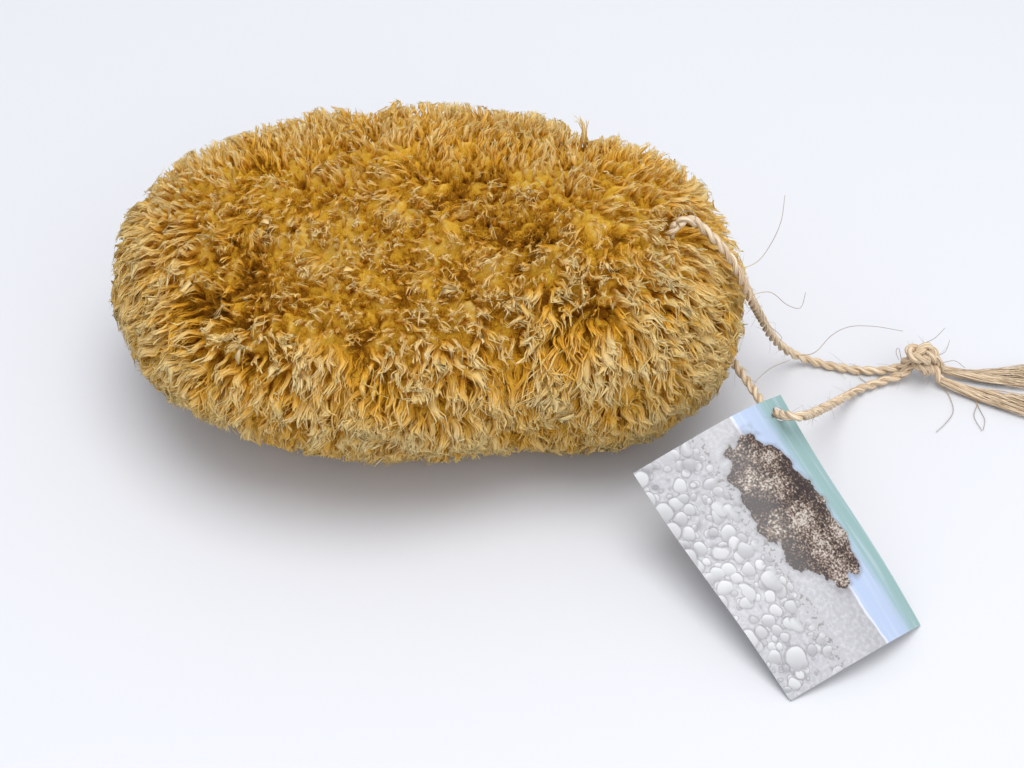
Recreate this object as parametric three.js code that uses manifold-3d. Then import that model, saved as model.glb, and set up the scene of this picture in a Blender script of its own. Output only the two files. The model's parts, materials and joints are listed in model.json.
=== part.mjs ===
// A dry natural sea sponge with a sisal twine threaded through its right end and a card tag on the twine.
// Millimetres, +Z up. The origin is on the resting surface, under the middle of the sponge.
import * as THREE from 'three';
import { mergeVertices } from 'three/addons/utils/BufferGeometryUtils.js';
import Module from 'manifold-3d';

const wasm = await Module();
wasm.setup();

// Sponge. Its outline reaches the tips of its tufts. It is the blend of six lobes that grew from one heart.
const SPONGE_HEART = new THREE.Vector3(0, 0, 40);
const SPONGE_LOBES = {
  left: { centre: [-46, 8, 38], half: [52, 47, 43] },
  front: { centre: [-19.5, -17.5, 43], half: [66, 45.5, 32.5] },
  crown: { centre: [-11.5, 17.5, 48], half: [67, 45, 38] },
  right: { centre: [50.5, -2.5, 42], half: [46, 50.5, 45] },
  rear: { centre: [23, 12.5, 43.5], half: [50, 48.5, 40.5] },
  belly: { centre: [4, -2.5, 37], half: [83.5, 53, 39.5] },
};
const LOBE_BLEND = 0.22;        // per mm: the higher it is, the sharper the creases between the lobes
const SPONGE_SPREAD = [1.55, 1, 0.7]; // spreads the facets evenly over the long body
const SPONGE_DETAIL = 14;       // each of the 20 first facets is split into (detail + 1) squared
const CUT_ROOM = 60;            // how far the block that cuts the flat base reaches past the sponge

// Twine: two-ply laid sisal.
const TWINE_RADIUS = 1.35;
const TWINE_STEP = 4;           // length of one facet ring to the next
const TWINE_SIDES = 8;
const BORE_RADIUS = TWINE_RADIUS + 0.9;
const BORE_STEP = 2;
const BORE_SIDES = 10;

// The twine's route, chosen by hand. It passes down through the right end of the sponge.
const THREADED_ROUTE = [
  [73.1, -15.2, 79.8], [72.1, -15.1, 78.6], [71.2, -14.7, 76], [71.3, -14, 72], [73.2, -13.4, 63],
  [76.6, -13, 50], [80.8, -12.6, 39], [85.8, -12.8, 31.2], [90.4, -14.2, 27.6], [93.2, -16.4, 26.4],
];
// From the upper mouth over the flank, down to the resting surface and along it to the knot.
const UPPER_ROUTE = [
  [73.5, -15.2, 80.3], [74.7, -15.2, 81.4], [76.8, -14.4, 81], [79.6, -14, 78.6], [82.5, -14.4, 75.7],
  [85.6, -15, 72.6], [88.4, -15.9, 69], [91.2, -16.8, 64.4], [93.6, -17.3, 59.3], [95.8, -16.5, 53.6],
  [98, -13, 46.8], [100.4, -8, 39.2], [103, -2.6, 30.6], [106.2, 1.6, 21.8], [110, 5.2, 13.8],
  [114, 7.6, 7.9], [118.4, 8.9, 3.9], [123.4, 8.6, 2], [129.4, 6.9, 1.6], [136.4, 5.4, 1.6],
  [143.4, 4.8, 1.8], [150, 4.9, 3.1],
];
// From the lower mouth under the tag, up through its hole, over its edge and down to the knot.
const LOWER_ROUTE = [
  [93.5, -16.9, 26.3], [95.2, -20.2, 25.9], [97, -24.6, 26], [98.6, -29.2, 26.4], [100.1, -34.2, 27.3],
  [101.6, -39, 29], [103, -43, 31.5], [104.2, -47, 34.9], [105.6, -50.2, 37.9], [107.7, -51.3, 38.8],
  [109.8, -49.6, 37.2], [111.7, -45.8, 33.6], [113.9, -40.8, 29], [117, -33.9, 22.8], [120.8, -26.2, 16.6],
  [125.2, -18.6, 10.8], [129.8, -11.6, 6.1], [134.4, -5.8, 3], [139, -2.2, 1.8], [144.2, 0, 2],
  [149.8, 1.4, 3.1],
];
// The bore follows each outer strand for this far from its mouth, so that the strand lies clear.
const UPPER_GROOVE = 52;
const LOWER_GROOVE = 12;

// Overhand knot tied with both ends of the twine, and the two unlaid tails behind it.
const KNOT = {
  centre: [156.4, 3.6, 4.7],
  half: [5.7, 6.3, 4.5],
  groove: 0.06,                 // how far the grooves between the turns go in, as a share of the knot
  turns: 3,                     // turns side by side around the knot
  slant: 5,                     // how far the turns slant along it
};
const TAIL_RADIUS = 1.7;
const TAIL_ROUTES = {
  tail_upper: [[163, 4, 3.2], [169, 3, 2.4], [177, 2.2, 1.9], [187, 2.4, 1.9], [198, 3.8, 1.9]],
  tail_lower: [[162.2, -1, 3.2], [168.6, -4, 2.4], [177, -7.6, 1.9], [186.6, -10.8, 1.9], [197, -13.8, 1.9]],
};

// Tag: a bowed card that stands on its two far corners and leans on the sponge's flank.
const TAG = {
  hung: [104.7, -37.2, 33.2],   // corner by the hole
  leaning: [60.6, -63.7, 28.2], // corner that touches the tufts
  frontFoot: [102.3, -122.8, 0.5],
  rightFoot: [141.8, -96.8, 0.5],
  thickness: 0.4,
  bow: 6.6,                     // rise of the middle over the chord between the long edges
  bowLean: 0.12,                // how far the highest line of the bow lies towards the hung edge
  curl: 1.1,                    // how far the long edges dip near the hole and rise near the feet
  across: 16,
  along: 20,
};
const HOLE = { across: 0.088, along: 0.066, radius: 2.3, length: 8, sides: 16 };

const FINISH = {
  sponge: { color: 0xc39a49, roughness: 0.95, metalness: 0 },
  twine: { color: 0xcbb48a, roughness: 0.85, metalness: 0 },
  tag: { color: 0xc9ccd0, roughness: 0.4, metalness: 0 },
};

/** A named mesh with its own material. */
function piece(name, geometry, finish) {
  geometry.computeVertexNormals();
  const mesh = new THREE.Mesh(geometry, new THREE.MeshStandardMaterial(finish));
  mesh.name = name;
  return mesh;
}

/** The same surface with its shared corners merged, holding positions only. */
function welded(geometry) {
  const bare = geometry.clone();
  for (const name of Object.keys(bare.attributes)) {
    if (name !== 'position') bare.deleteAttribute(name);
  }
  return mergeVertices(bare, 1e-4);
}

/** A solid made of a closed surface. */
function solidOf(geometry) {
  const bare = welded(geometry);
  const vertProperties = new Float32Array(bare.attributes.position.array);
  const triVerts = new Uint32Array(bare.index.array);
  return new wasm.Manifold(new wasm.Mesh({ numProp: 3, vertProperties, triVerts }));
}

/** The surface of a solid. */
function surfaceOf(solid) {
  const mesh = solid.getMesh();
  const geometry = new THREE.BufferGeometry();
  geometry.setAttribute('position', new THREE.BufferAttribute(new Float32Array(mesh.vertProperties), 3));
  geometry.setIndex(new THREE.BufferAttribute(new Uint32Array(mesh.triVerts), 1));
  return geometry;
}

/** A smooth curve through a route's points. */
function curveThrough(route) {
  return new THREE.CatmullRomCurve3(route.map((point) => new THREE.Vector3(...point)), false, 'centripetal');
}

/** A closed round tube along a curve. */
function tubeAlong(curve, radius, step, sides) {
  const section = new THREE.Shape();
  for (let side = 0; side < sides; side += 1) {
    const turn = (2 * Math.PI * side) / sides;
    const x = radius * Math.cos(turn);
    const y = radius * Math.sin(turn);
    if (side === 0) section.moveTo(x, y);
    else section.lineTo(x, y);
  }
  section.closePath();
  const steps = Math.max(4, Math.round(curve.getLength() / step));
  return new THREE.ExtrudeGeometry(section, { steps, bevelEnabled: false, extrudePath: curve });
}

/** How far one lobe reaches from the heart in a direction. */
function lobeReach(lobe, direction) {
  const half = new THREE.Vector3(...lobe.half);
  const ahead = direction.clone().divide(half);
  const offset = SPONGE_HEART.clone().sub(new THREE.Vector3(...lobe.centre)).divide(half);
  const a = ahead.dot(ahead);
  const b = ahead.dot(offset);
  const inside = b * b - a * (offset.dot(offset) - 1);
  return inside > 0 ? Math.max(0, (Math.sqrt(inside) - b) / a) : 0;
}

/** How far the sponge reaches from its heart in a direction: the soft maximum of its lobes. */
function spongeReach(direction) {
  const reaches = Object.values(SPONGE_LOBES).map((lobe) => lobeReach(lobe, direction));
  const longest = Math.max(...reaches);
  const sum = reaches.reduce((total, reach) => total + Math.exp(LOBE_BLEND * (reach - longest)), 0);
  return longest + Math.log(sum) / LOBE_BLEND;
}

/** The whole lobed body, before it is cut off its rock and bored. */
function lobedBody() {
  const body = welded(new THREE.IcosahedronGeometry(1, SPONGE_DETAIL));
  const positions = body.attributes.position;
  const spread = new THREE.Vector3(...SPONGE_SPREAD);
  const direction = new THREE.Vector3();
  for (let i = 0; i < positions.count; i += 1) {
    direction.fromBufferAttribute(positions, i).multiply(spread).normalize();
    const reach = spongeReach(direction);
    direction.multiplyScalar(reach).add(SPONGE_HEART);
    positions.setXYZ(i, direction.x, direction.y, direction.z);
  }
  body.computeBoundingBox();
  const middle = body.boundingBox.getCenter(new THREE.Vector3());
  return body.translate(-middle.x, -middle.y, 0);
}

/** The block under the resting surface, which leaves the flat base. */
function blockUnderBase(body) {
  body.computeBoundingBox();
  const size = body.boundingBox.getSize(new THREE.Vector3()).addScalar(CUT_ROOM);
  return solidOf(new THREE.BoxGeometry(size.x, size.y, size.z).translate(0, 0, -size.z / 2));
}

/** The points of an outer strand's route that lie within a groove's length of its mouth. */
function nearMouth(route, groove) {
  const mouth = new THREE.Vector3(...route[0]);
  return route.slice(1).filter((point) => mouth.distanceTo(new THREE.Vector3(...point)) < groove);
}

/** The route of the bore: the threaded stretch with the first part of each outer strand. */
function boreRoute() {
  const upper = nearMouth(UPPER_ROUTE, UPPER_GROOVE).reverse();
  return [...upper, ...THREADED_ROUTE, ...nearMouth(LOWER_ROUTE, LOWER_GROOVE)];
}

/** The sponge: its lobed body, cut flat at the base and bored for the twine. */
function makeSponge() {
  const body = lobedBody();
  const bore = solidOf(tubeAlong(curveThrough(boreRoute()), BORE_RADIUS, BORE_STEP, BORE_SIDES));
  const sponge = solidOf(body).subtract(blockUnderBase(body)).subtract(bore);
  return piece('sponge', surfaceOf(sponge), FINISH.sponge);
}

/** One stretch of the twine. */
function makeStrand(name, route) {
  return piece(name, tubeAlong(curveThrough(route), TWINE_RADIUS, TWINE_STEP, TWINE_SIDES), FINISH.twine);
}

/** The knot's outer shape: a squat lump with ridges where the turns cross. */
function makeKnot() {
  const lump = welded(new THREE.SphereGeometry(1, 20, 14));
  const positions = lump.attributes.position;
  const point = new THREE.Vector3();
  for (let i = 0; i < positions.count; i += 1) {
    point.fromBufferAttribute(positions, i);
    const around = Math.atan2(point.z, point.y);
    const ridge = Math.sin(KNOT.turns * around + KNOT.slant * point.x) * (1 - point.x * point.x);
    point.multiplyScalar(1 - KNOT.groove * (0.5 - 0.5 * ridge));
    positions.setXYZ(i, point.x, point.y, point.z);
  }
  lump.scale(...KNOT.half).translate(...KNOT.centre);
  return piece('knot', lump, FINISH.twine);
}

/** A point of the tag's middle surface, with the direction of its printed face. */
function tagPoint(across, along) {
  const [hung, leaning, frontFoot, rightFoot] = [TAG.hung, TAG.leaning, TAG.frontFoot, TAG.rightFoot].map(
    (corner) => new THREE.Vector3(...corner),
  );
  const face = leaning.clone().sub(hung).cross(rightFoot.clone().sub(hung)).normalize();
  const top = hung.lerp(leaning, across);
  const foot = rightFoot.lerp(frontFoot, across);
  const bowed = Math.sin(Math.PI * (across + TAG.bowLean * Math.sin(Math.PI * across)));
  const curled = -TAG.curl * Math.sin(2 * Math.PI * along) * (1 - bowed);
  const point = top.lerp(foot, along).addScaledVector(face, TAG.bow * bowed + curled);
  return { point, face };
}

/** The tag's sheet: two bowed faces a thickness apart, closed around the edge. */
function tagSheet() {
  const columns = TAG.across + 1;
  const rows = TAG.along + 1;
  const positions = [];
  for (const side of [0.5, -0.5]) {
    for (let row = 0; row < rows; row += 1) {
      for (let column = 0; column < columns; column += 1) {
        const { point, face } = tagPoint(column / TAG.across, row / TAG.along);
        point.addScaledVector(face, side * TAG.thickness);
        positions.push(point.x, point.y, point.z);
      }
    }
  }
  const index = [];
  const at = (side, row, column) => side * rows * columns + row * columns + column;
  const quad = (a, b, c, d) => index.push(a, b, c, a, c, d);
  const { across, along } = TAG;
  for (let row = 0; row < along; row += 1) {
    for (let column = 0; column < across; column += 1) {
      quad(at(0, row, column), at(0, row, column + 1), at(0, row + 1, column + 1), at(0, row + 1, column));
      quad(at(1, row, column), at(1, row + 1, column), at(1, row + 1, column + 1), at(1, row, column + 1));
    }
  }
  for (let row = 0; row < along; row += 1) {
    quad(at(0, row, 0), at(0, row + 1, 0), at(1, row + 1, 0), at(1, row, 0));
    quad(at(0, row + 1, across), at(0, row, across), at(1, row, across), at(1, row + 1, across));
  }
  for (let column = 0; column < across; column += 1) {
    quad(at(0, 0, column + 1), at(0, 0, column), at(1, 0, column), at(1, 0, column + 1));
    quad(at(0, along, column), at(0, along, column + 1), at(1, along, column + 1), at(1, along, column));
  }
  const sheet = new THREE.BufferGeometry();
  sheet.setAttribute('position', new THREE.Float32BufferAttribute(positions, 3));
  sheet.setIndex(index);
  return sheet;
}

/** The punched hole, square to the card. */
function holePunch() {
  const { point, face } = tagPoint(HOLE.across, HOLE.along);
  const punch = new THREE.CylinderGeometry(HOLE.radius, HOLE.radius, HOLE.length, HOLE.sides);
  punch.applyQuaternion(new THREE.Quaternion().setFromUnitVectors(new THREE.Vector3(0, 1, 0), face));
  return solidOf(punch.translate(point.x, point.y, point.z));
}

/** The card tag with its hole. */
function makeTag() {
  return piece('tag', surfaceOf(solidOf(tagSheet()).subtract(holePunch())), FINISH.tag);
}

/** The twine with its knot and tails. */
function makeTwine() {
  const twine = new THREE.Group();
  twine.add(makeStrand('twine_threaded', THREADED_ROUTE));
  twine.add(makeStrand('twine_upper', UPPER_ROUTE));
  twine.add(makeStrand('twine_lower', LOWER_ROUTE));
  twine.add(makeKnot());
  for (const [name, route] of Object.entries(TAIL_ROUTES)) {
    const tail = tubeAlong(curveThrough(route), TAIL_RADIUS, TWINE_STEP, TWINE_SIDES);
    twine.add(piece(name, tail, FINISH.twine));
  }
  return twine;
}

const object = new THREE.Group();
object.add(makeSponge(), makeTwine(), makeTag());

export default object;
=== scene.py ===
"""A dry sea sponge with a sisal twine and a card tag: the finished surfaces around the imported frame.

Metres, +Z up. The sponge lies on its cut base, with its long side along X and the twine at its +X end.
"""

import json
import logging
import math
from dataclasses import dataclass, field
from enum import Enum

import bmesh
import bpy
import numpy as np
from mathutils import Matrix, Vector, noise
from mathutils.geometry import delaunay_2d_cdt
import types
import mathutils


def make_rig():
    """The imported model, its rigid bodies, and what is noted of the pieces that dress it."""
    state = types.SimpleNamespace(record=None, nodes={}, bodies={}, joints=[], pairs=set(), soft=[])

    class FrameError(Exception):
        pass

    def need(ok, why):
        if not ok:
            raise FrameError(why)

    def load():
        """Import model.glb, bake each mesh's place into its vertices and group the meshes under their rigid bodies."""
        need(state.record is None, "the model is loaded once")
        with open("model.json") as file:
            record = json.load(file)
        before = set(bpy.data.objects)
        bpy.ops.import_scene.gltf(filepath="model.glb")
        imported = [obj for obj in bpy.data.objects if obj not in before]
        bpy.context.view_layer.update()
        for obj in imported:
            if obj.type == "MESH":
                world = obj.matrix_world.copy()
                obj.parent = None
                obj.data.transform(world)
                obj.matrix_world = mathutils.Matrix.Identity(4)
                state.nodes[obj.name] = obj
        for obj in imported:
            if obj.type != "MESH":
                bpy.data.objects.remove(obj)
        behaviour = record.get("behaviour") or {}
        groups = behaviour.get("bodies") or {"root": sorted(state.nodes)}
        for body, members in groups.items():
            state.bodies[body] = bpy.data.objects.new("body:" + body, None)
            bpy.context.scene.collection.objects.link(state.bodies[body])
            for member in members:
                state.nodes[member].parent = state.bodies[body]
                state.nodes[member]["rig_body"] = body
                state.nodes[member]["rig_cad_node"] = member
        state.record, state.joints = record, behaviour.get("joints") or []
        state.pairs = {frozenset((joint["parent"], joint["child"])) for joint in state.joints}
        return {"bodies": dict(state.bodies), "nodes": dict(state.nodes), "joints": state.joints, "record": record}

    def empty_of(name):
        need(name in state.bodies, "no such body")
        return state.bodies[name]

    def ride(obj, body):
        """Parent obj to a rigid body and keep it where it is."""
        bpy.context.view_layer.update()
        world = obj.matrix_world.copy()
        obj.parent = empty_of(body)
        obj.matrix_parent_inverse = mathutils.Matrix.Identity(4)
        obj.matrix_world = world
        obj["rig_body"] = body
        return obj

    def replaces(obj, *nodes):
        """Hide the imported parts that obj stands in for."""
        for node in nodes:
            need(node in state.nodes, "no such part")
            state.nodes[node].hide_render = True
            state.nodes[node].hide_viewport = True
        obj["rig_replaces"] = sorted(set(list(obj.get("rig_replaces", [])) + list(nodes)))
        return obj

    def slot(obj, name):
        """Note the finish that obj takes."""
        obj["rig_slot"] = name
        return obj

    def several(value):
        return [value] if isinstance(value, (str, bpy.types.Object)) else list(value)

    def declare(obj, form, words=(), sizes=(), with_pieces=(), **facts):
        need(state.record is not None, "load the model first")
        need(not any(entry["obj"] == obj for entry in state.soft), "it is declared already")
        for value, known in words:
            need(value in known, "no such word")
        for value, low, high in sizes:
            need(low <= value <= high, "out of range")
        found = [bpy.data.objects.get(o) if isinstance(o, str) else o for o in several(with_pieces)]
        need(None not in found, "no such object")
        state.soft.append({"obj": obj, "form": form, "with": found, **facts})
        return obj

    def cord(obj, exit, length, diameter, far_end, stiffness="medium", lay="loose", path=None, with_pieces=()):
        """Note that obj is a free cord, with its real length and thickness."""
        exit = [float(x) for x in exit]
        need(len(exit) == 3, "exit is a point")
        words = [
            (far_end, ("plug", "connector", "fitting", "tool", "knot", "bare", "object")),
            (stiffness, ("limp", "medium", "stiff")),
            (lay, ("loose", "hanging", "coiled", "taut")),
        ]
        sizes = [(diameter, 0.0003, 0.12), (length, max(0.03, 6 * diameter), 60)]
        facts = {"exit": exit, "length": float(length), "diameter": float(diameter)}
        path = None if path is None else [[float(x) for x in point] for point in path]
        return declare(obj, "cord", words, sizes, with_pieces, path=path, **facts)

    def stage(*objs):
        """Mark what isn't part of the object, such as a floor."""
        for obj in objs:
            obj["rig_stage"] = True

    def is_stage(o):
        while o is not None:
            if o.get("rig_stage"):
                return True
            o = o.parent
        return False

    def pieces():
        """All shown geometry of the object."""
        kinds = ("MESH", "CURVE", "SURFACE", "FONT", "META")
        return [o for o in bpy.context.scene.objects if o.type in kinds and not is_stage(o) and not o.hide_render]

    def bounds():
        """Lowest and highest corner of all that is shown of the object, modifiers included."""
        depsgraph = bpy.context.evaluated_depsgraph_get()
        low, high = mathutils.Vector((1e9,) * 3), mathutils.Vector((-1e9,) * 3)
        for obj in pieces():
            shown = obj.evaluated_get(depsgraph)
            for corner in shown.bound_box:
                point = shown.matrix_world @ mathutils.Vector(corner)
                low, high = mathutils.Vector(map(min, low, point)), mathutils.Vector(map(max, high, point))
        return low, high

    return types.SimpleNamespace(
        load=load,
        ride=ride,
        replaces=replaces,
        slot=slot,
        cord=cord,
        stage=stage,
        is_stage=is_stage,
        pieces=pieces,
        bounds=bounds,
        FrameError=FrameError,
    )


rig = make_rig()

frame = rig.load()
CAD_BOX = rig.bounds()

log = logging.getLogger("sponge")
logging.basicConfig(level=logging.INFO, format="%(name)s: %(message)s")

MM = 0.001
BODY = "root"
Array = np.ndarray


class Slot(Enum):
    """The record's material slots."""

    SPONGE = "sponge_fibre"
    SISAL = "sisal"
    CARD = "tag_card"


# ---------------------------------------------------------------- small tools


def unit(vectors: Array) -> Array:
    """Rows scaled to length one."""
    return vectors / np.maximum(np.linalg.norm(vectors, axis=-1, keepdims=True), 1e-12)


def smooth_step(low: float, high: float, value: Array) -> Array:
    """A smooth ramp from 0 at low to 1 at high."""
    t = np.clip((value - low) / (high - low), 0.0, 1.0)
    return t * t * (3.0 - 2.0 * t)


def new_object(name: str, vertices: Array, faces: list, smooth: bool = True) -> bpy.types.Object:
    """Makes a mesh object at the origin.

    Args:
        name: The object's name.
        vertices: Points in the frame, in metres.
        faces: Corner numbers of each face.
        smooth: Whether the faces are shaded smooth.

    Returns:
        The object, linked to the scene.
    """
    mesh = bpy.data.meshes.new(name)
    mesh.from_pydata(np.asarray(vertices, float).tolist(), [], faces)
    mesh.polygons.foreach_set("use_smooth", [smooth] * len(mesh.polygons))
    mesh.update()
    made = bpy.data.objects.new(name, mesh)
    bpy.context.scene.collection.objects.link(made)
    return made


def store(obj: bpy.types.Object, name: str, values: Array) -> None:
    """Stores one number or one vector for each vertex as a named attribute."""
    kind, key = ("FLOAT_VECTOR", "vector") if values.ndim == 2 else ("FLOAT", "value")
    layer = obj.data.attributes.new(name, kind, "POINT")
    layer.data.foreach_set(key, np.asarray(values, np.float32).ravel())


def dress(
    obj: bpy.types.Object, material: bpy.types.Material, slot: Slot, *replaced: str
) -> bpy.types.Object:
    """Gives a finished piece its material, its body, its slot and the solids it stands for.

    Args:
        obj: The finished piece.
        material: Its material.
        slot: The record's slot that the material belongs to.
        replaced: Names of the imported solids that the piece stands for.

    Returns:
        The same piece.
    """
    obj.data.materials.clear()
    obj.data.materials.append(material)
    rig.ride(obj, BODY)
    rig.slot(obj, slot.value)
    if replaced:
        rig.replaces(obj, *replaced)
    log.info("%s: %d triangles", obj.name, sum(len(p.vertices) - 2 for p in obj.data.polygons))
    return obj


@dataclass(frozen=True)
class Value:
    """A number that nodes work out, so that sums on it read as sums."""

    wires: "Wires"
    socket: bpy.types.NodeSocket

    def __add__(self, other: object) -> "Value":
        """The sum."""
        return self.wires.math("ADD", self, other)

    def __sub__(self, other: object) -> "Value":
        """The difference."""
        return self.wires.math("SUBTRACT", self, other)

    def __rsub__(self, other: object) -> "Value":
        """The difference from a plain number."""
        return self.wires.math("SUBTRACT", other, self)

    def __mul__(self, other: object) -> "Value":
        """The product."""
        return self.wires.math("MULTIPLY", self, other)

    def __truediv__(self, other: object) -> "Value":
        """The quotient."""
        return self.wires.math("DIVIDE", self, other)


class Wires:
    """Adds nodes to one node tree and joins them."""

    def __init__(self, tree: bpy.types.NodeTree) -> None:
        """Starts on an empty tree."""
        self.tree = tree

    def add(self, kind: str, inputs: dict | None = None, **settings: object) -> bpy.types.Node:
        """Adds a node, sets its plain settings, then feeds its inputs."""
        node = self.tree.nodes.new(kind)
        for key, value in settings.items():
            setattr(node, key, value)
        for socket, source in (inputs or {}).items():
            self.feed(node, socket, source)
        return node

    def feed(self, node: bpy.types.Node, socket: str | int, source: object) -> None:
        """Sets an input to a value, or joins it to another node's output."""
        source = source.socket if isinstance(source, Value) else source
        target = node.inputs[socket]
        if isinstance(source, bpy.types.NodeSocket):
            self.tree.links.new(source, target)
        else:
            target.default_value = source

    def math(self, operation: str, first: object, second: object, clamp: bool = False) -> Value:
        """One sum on numbers."""
        node = self.add("ShaderNodeMath", {0: first, 1: second}, operation=operation, use_clamp=clamp)
        return Value(self, node.outputs[0])

    def vector(self, operation: str, first: object, second: object) -> bpy.types.NodeSocket:
        """One sum on vectors. A scale takes a number as its second value."""
        other = "Scale" if operation == "SCALE" else 1
        node = self.add("ShaderNodeVectorMath", {0: first, other: second}, operation=operation)
        return node.outputs[1 if operation == "DOT_PRODUCT" else 0]

    def place(self) -> bpy.types.NodeSocket:
        """Where each point is."""
        return self.add("GeometryNodeInputPosition").outputs[0]

    def named(self, name: str, kind: str = "FLOAT") -> Value:
        """A named attribute, as geometry nodes read it."""
        node = self.add("GeometryNodeInputNamedAttribute", {"Name": name}, data_type=kind)
        return Value(self, node.outputs[0])

    def attribute(self, name: str, output: str = "Fac") -> Value:
        """A named attribute, as a material reads it."""
        return Value(self, self.add("ShaderNodeAttribute", attribute_name=name).outputs[output])

    def random(self, kind: str, low: object, high: object, seed: int) -> Value:
        """A random value for each point."""
        first = {"FLOAT_VECTOR": 0, "FLOAT": 2, "INT": 4}[kind]
        inputs = {first: low, first + 1: high, "Seed": seed}
        return Value(self, self.add("FunctionNodeRandomValue", inputs, data_type=kind).outputs[first // 2])

    def cloud(self, place: object, scale: float, detail: float, roughness: float = 0.5) -> bpy.types.Node:
        """A noise texture."""
        inputs = {"Vector": place, "Scale": scale, "Detail": detail, "Roughness": roughness}
        return self.add("ShaderNodeTexNoise", inputs)

    def noise(self, place: object, scale: float, detail: float, roughness: float = 0.5) -> Value:
        """A noise value."""
        return Value(self, self.cloud(place, scale, detail, roughness).outputs["Fac"])

    def step(self, value: Value, low: float, high: float) -> Value:
        """A smooth ramp from 0 at low to 1 at high."""
        inputs = {"Value": value, "From Min": low, "From Max": high}
        node = self.add("ShaderNodeMapRange", inputs, interpolation_type="SMOOTHSTEP")
        return Value(self, node.outputs["Result"])

    def band(self, value: Value, centre: float, half: float) -> Value:
        """One at the centre of a band, and zero outside it."""
        return self.step(self.math("ABSOLUTE", value - centre, 0.0), half, half * 0.3)

    def blend(self, share: object, first: object, second: object) -> bpy.types.NodeSocket:
        """Mixes two colours, each of them a socket or a plain colour."""
        node = self.add("ShaderNodeMix", {"Factor": share}, data_type="RGBA")
        for socket, colour in ((6, first), (7, second)):
            plain = not isinstance(colour, bpy.types.NodeSocket)
            self.feed(node, socket, (*colour, 1.0) if plain else colour)
        return node.outputs[2]

    def ramp(self, level: Value, stops: tuple) -> bpy.types.NodeSocket:
        """A colour for a number, through stops that are each a position and a colour."""
        node = self.add("ShaderNodeValToRGB", {"Fac": level})
        elements = node.color_ramp.elements
        for number, (position, colour) in enumerate((stops[0], stops[-1])):
            elements[number].position = position
            elements[number].color = (*colour, 1)
        for position, colour in stops[1:-1]:
            elements.new(position).color = (*colour, 1)
        return node.outputs["Color"]

    def bump(self, height: Value, strength: float, distance: float) -> bpy.types.NodeSocket:
        """A normal that follows a height."""
        inputs = {"Height": height, "Strength": strength, "Distance": distance}
        return self.add("ShaderNodeBump", inputs).outputs["Normal"]


def new_material(name: str) -> tuple[bpy.types.Material, Wires, bpy.types.Node]:
    """A new material, its wires and its main shader."""
    material = bpy.data.materials.new(name)
    material.use_nodes = True
    return material, Wires(material.node_tree), material.node_tree.nodes["Principled BSDF"]


# ---------------------------------------------------------------- camera, light and floor


@dataclass(frozen=True)
class Shot:
    """The camera, looking down on the sponge from the side where the tag lies."""

    elevation: float = 45.0
    distance: float = 590 * MM
    right_of_sponge: float = 26 * MM
    below_sponge: float = 30 * MM
    heart_height: float = 43 * MM
    focal: float = 68.34
    sensor: float = 36.0

    def build(self) -> bpy.types.Object:
        """Makes the camera and makes it the scene's own."""
        tilt = math.radians(self.elevation)
        up = Vector((0, math.sin(tilt), math.cos(tilt)))
        back = Vector((0, -math.cos(tilt), math.sin(tilt)))
        aim = Vector((self.right_of_sponge, 0, self.heart_height)) - up * self.below_sponge
        data = bpy.data.cameras.new("camera")
        data.lens = self.focal
        data.sensor_width = self.sensor
        data.clip_start = 10 * MM
        data.clip_end = 20.0
        camera = bpy.data.objects.new("camera", data)
        camera.location = aim + back * self.distance
        camera.rotation_euler = (math.pi / 2 - tilt, 0, 0)
        bpy.context.scene.collection.objects.link(camera)
        bpy.context.scene.camera = camera
        return camera


@dataclass(frozen=True)
class Studio:
    """A pale sweep under a wide soft lamp, with a pale sky around them."""

    floor_half: float = 3.0
    floor_colour: tuple[float, float, float, float] = (0.607, 0.617, 0.64, 1.0)
    lamps_aim: tuple[float, float, float] = (0, 0, 0.04)
    sky: tuple[float, float, float, float] = (0.93, 0.94, 1.0, 1.0)
    sky_strength: float = 0.84
    key_size: float = 0.9
    key_power: float = 9.6
    key_place: tuple[float, float, float] = (0.05, -0.13, 1.15)
    fill_power: float = 3.9
    fill_size: float = 1.2
    fill_place: tuple[float, float, float] = (0.55, -0.85, 0.75)

    def lamp(self, name: str, place: tuple[float, float, float], size: float, power: float) -> None:
        """Adds a round soft lamp that faces the sponge.

        Args:
            name: The lamp's name.
            place: Where it stands, in metres.
            size: Its width.
            power: Its power, in watts.
        """
        data = bpy.data.lights.new(name, "AREA")
        data.shape = "DISK"
        data.size = size
        data.energy = power
        lamp = bpy.data.objects.new(name, data)
        lamp.location = place
        sight = Vector(self.lamps_aim) - Vector(place)
        lamp.rotation_euler = sight.to_track_quat("-Z", "Y").to_euler()
        bpy.context.scene.collection.objects.link(lamp)

    def build(self) -> None:
        """Makes the floor, the sky and the lamps."""
        half = self.floor_half
        corners = np.array([(-half, -half, 0), (half, -half, 0), (half, half, 0), (-half, half, 0)])
        floor = new_object("floor", corners, [(0, 1, 2, 3)], smooth=False)
        finish, _, shader = new_material("floor_paper")
        shader.inputs["Base Color"].default_value = self.floor_colour
        shader.inputs["Roughness"].default_value = 0.75
        shader.inputs["Specular IOR Level"].default_value = 0.2
        floor.data.materials.append(finish)
        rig.stage(floor)
        world = bpy.data.worlds.new("sky")
        world.use_nodes = True
        sky = world.node_tree.nodes["Background"]
        sky.inputs["Color"].default_value = self.sky
        sky.inputs["Strength"].default_value = self.sky_strength
        bpy.context.scene.world = world
        self.lamp("key", self.key_place, self.key_size, self.key_power)
        self.lamp("fill", self.fill_place, self.fill_size, self.fill_power)
        bpy.context.scene.view_settings.view_transform = "Standard"
        bpy.context.scene.view_settings.look = "None"


# ---------------------------------------------------------------- finishes


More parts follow.
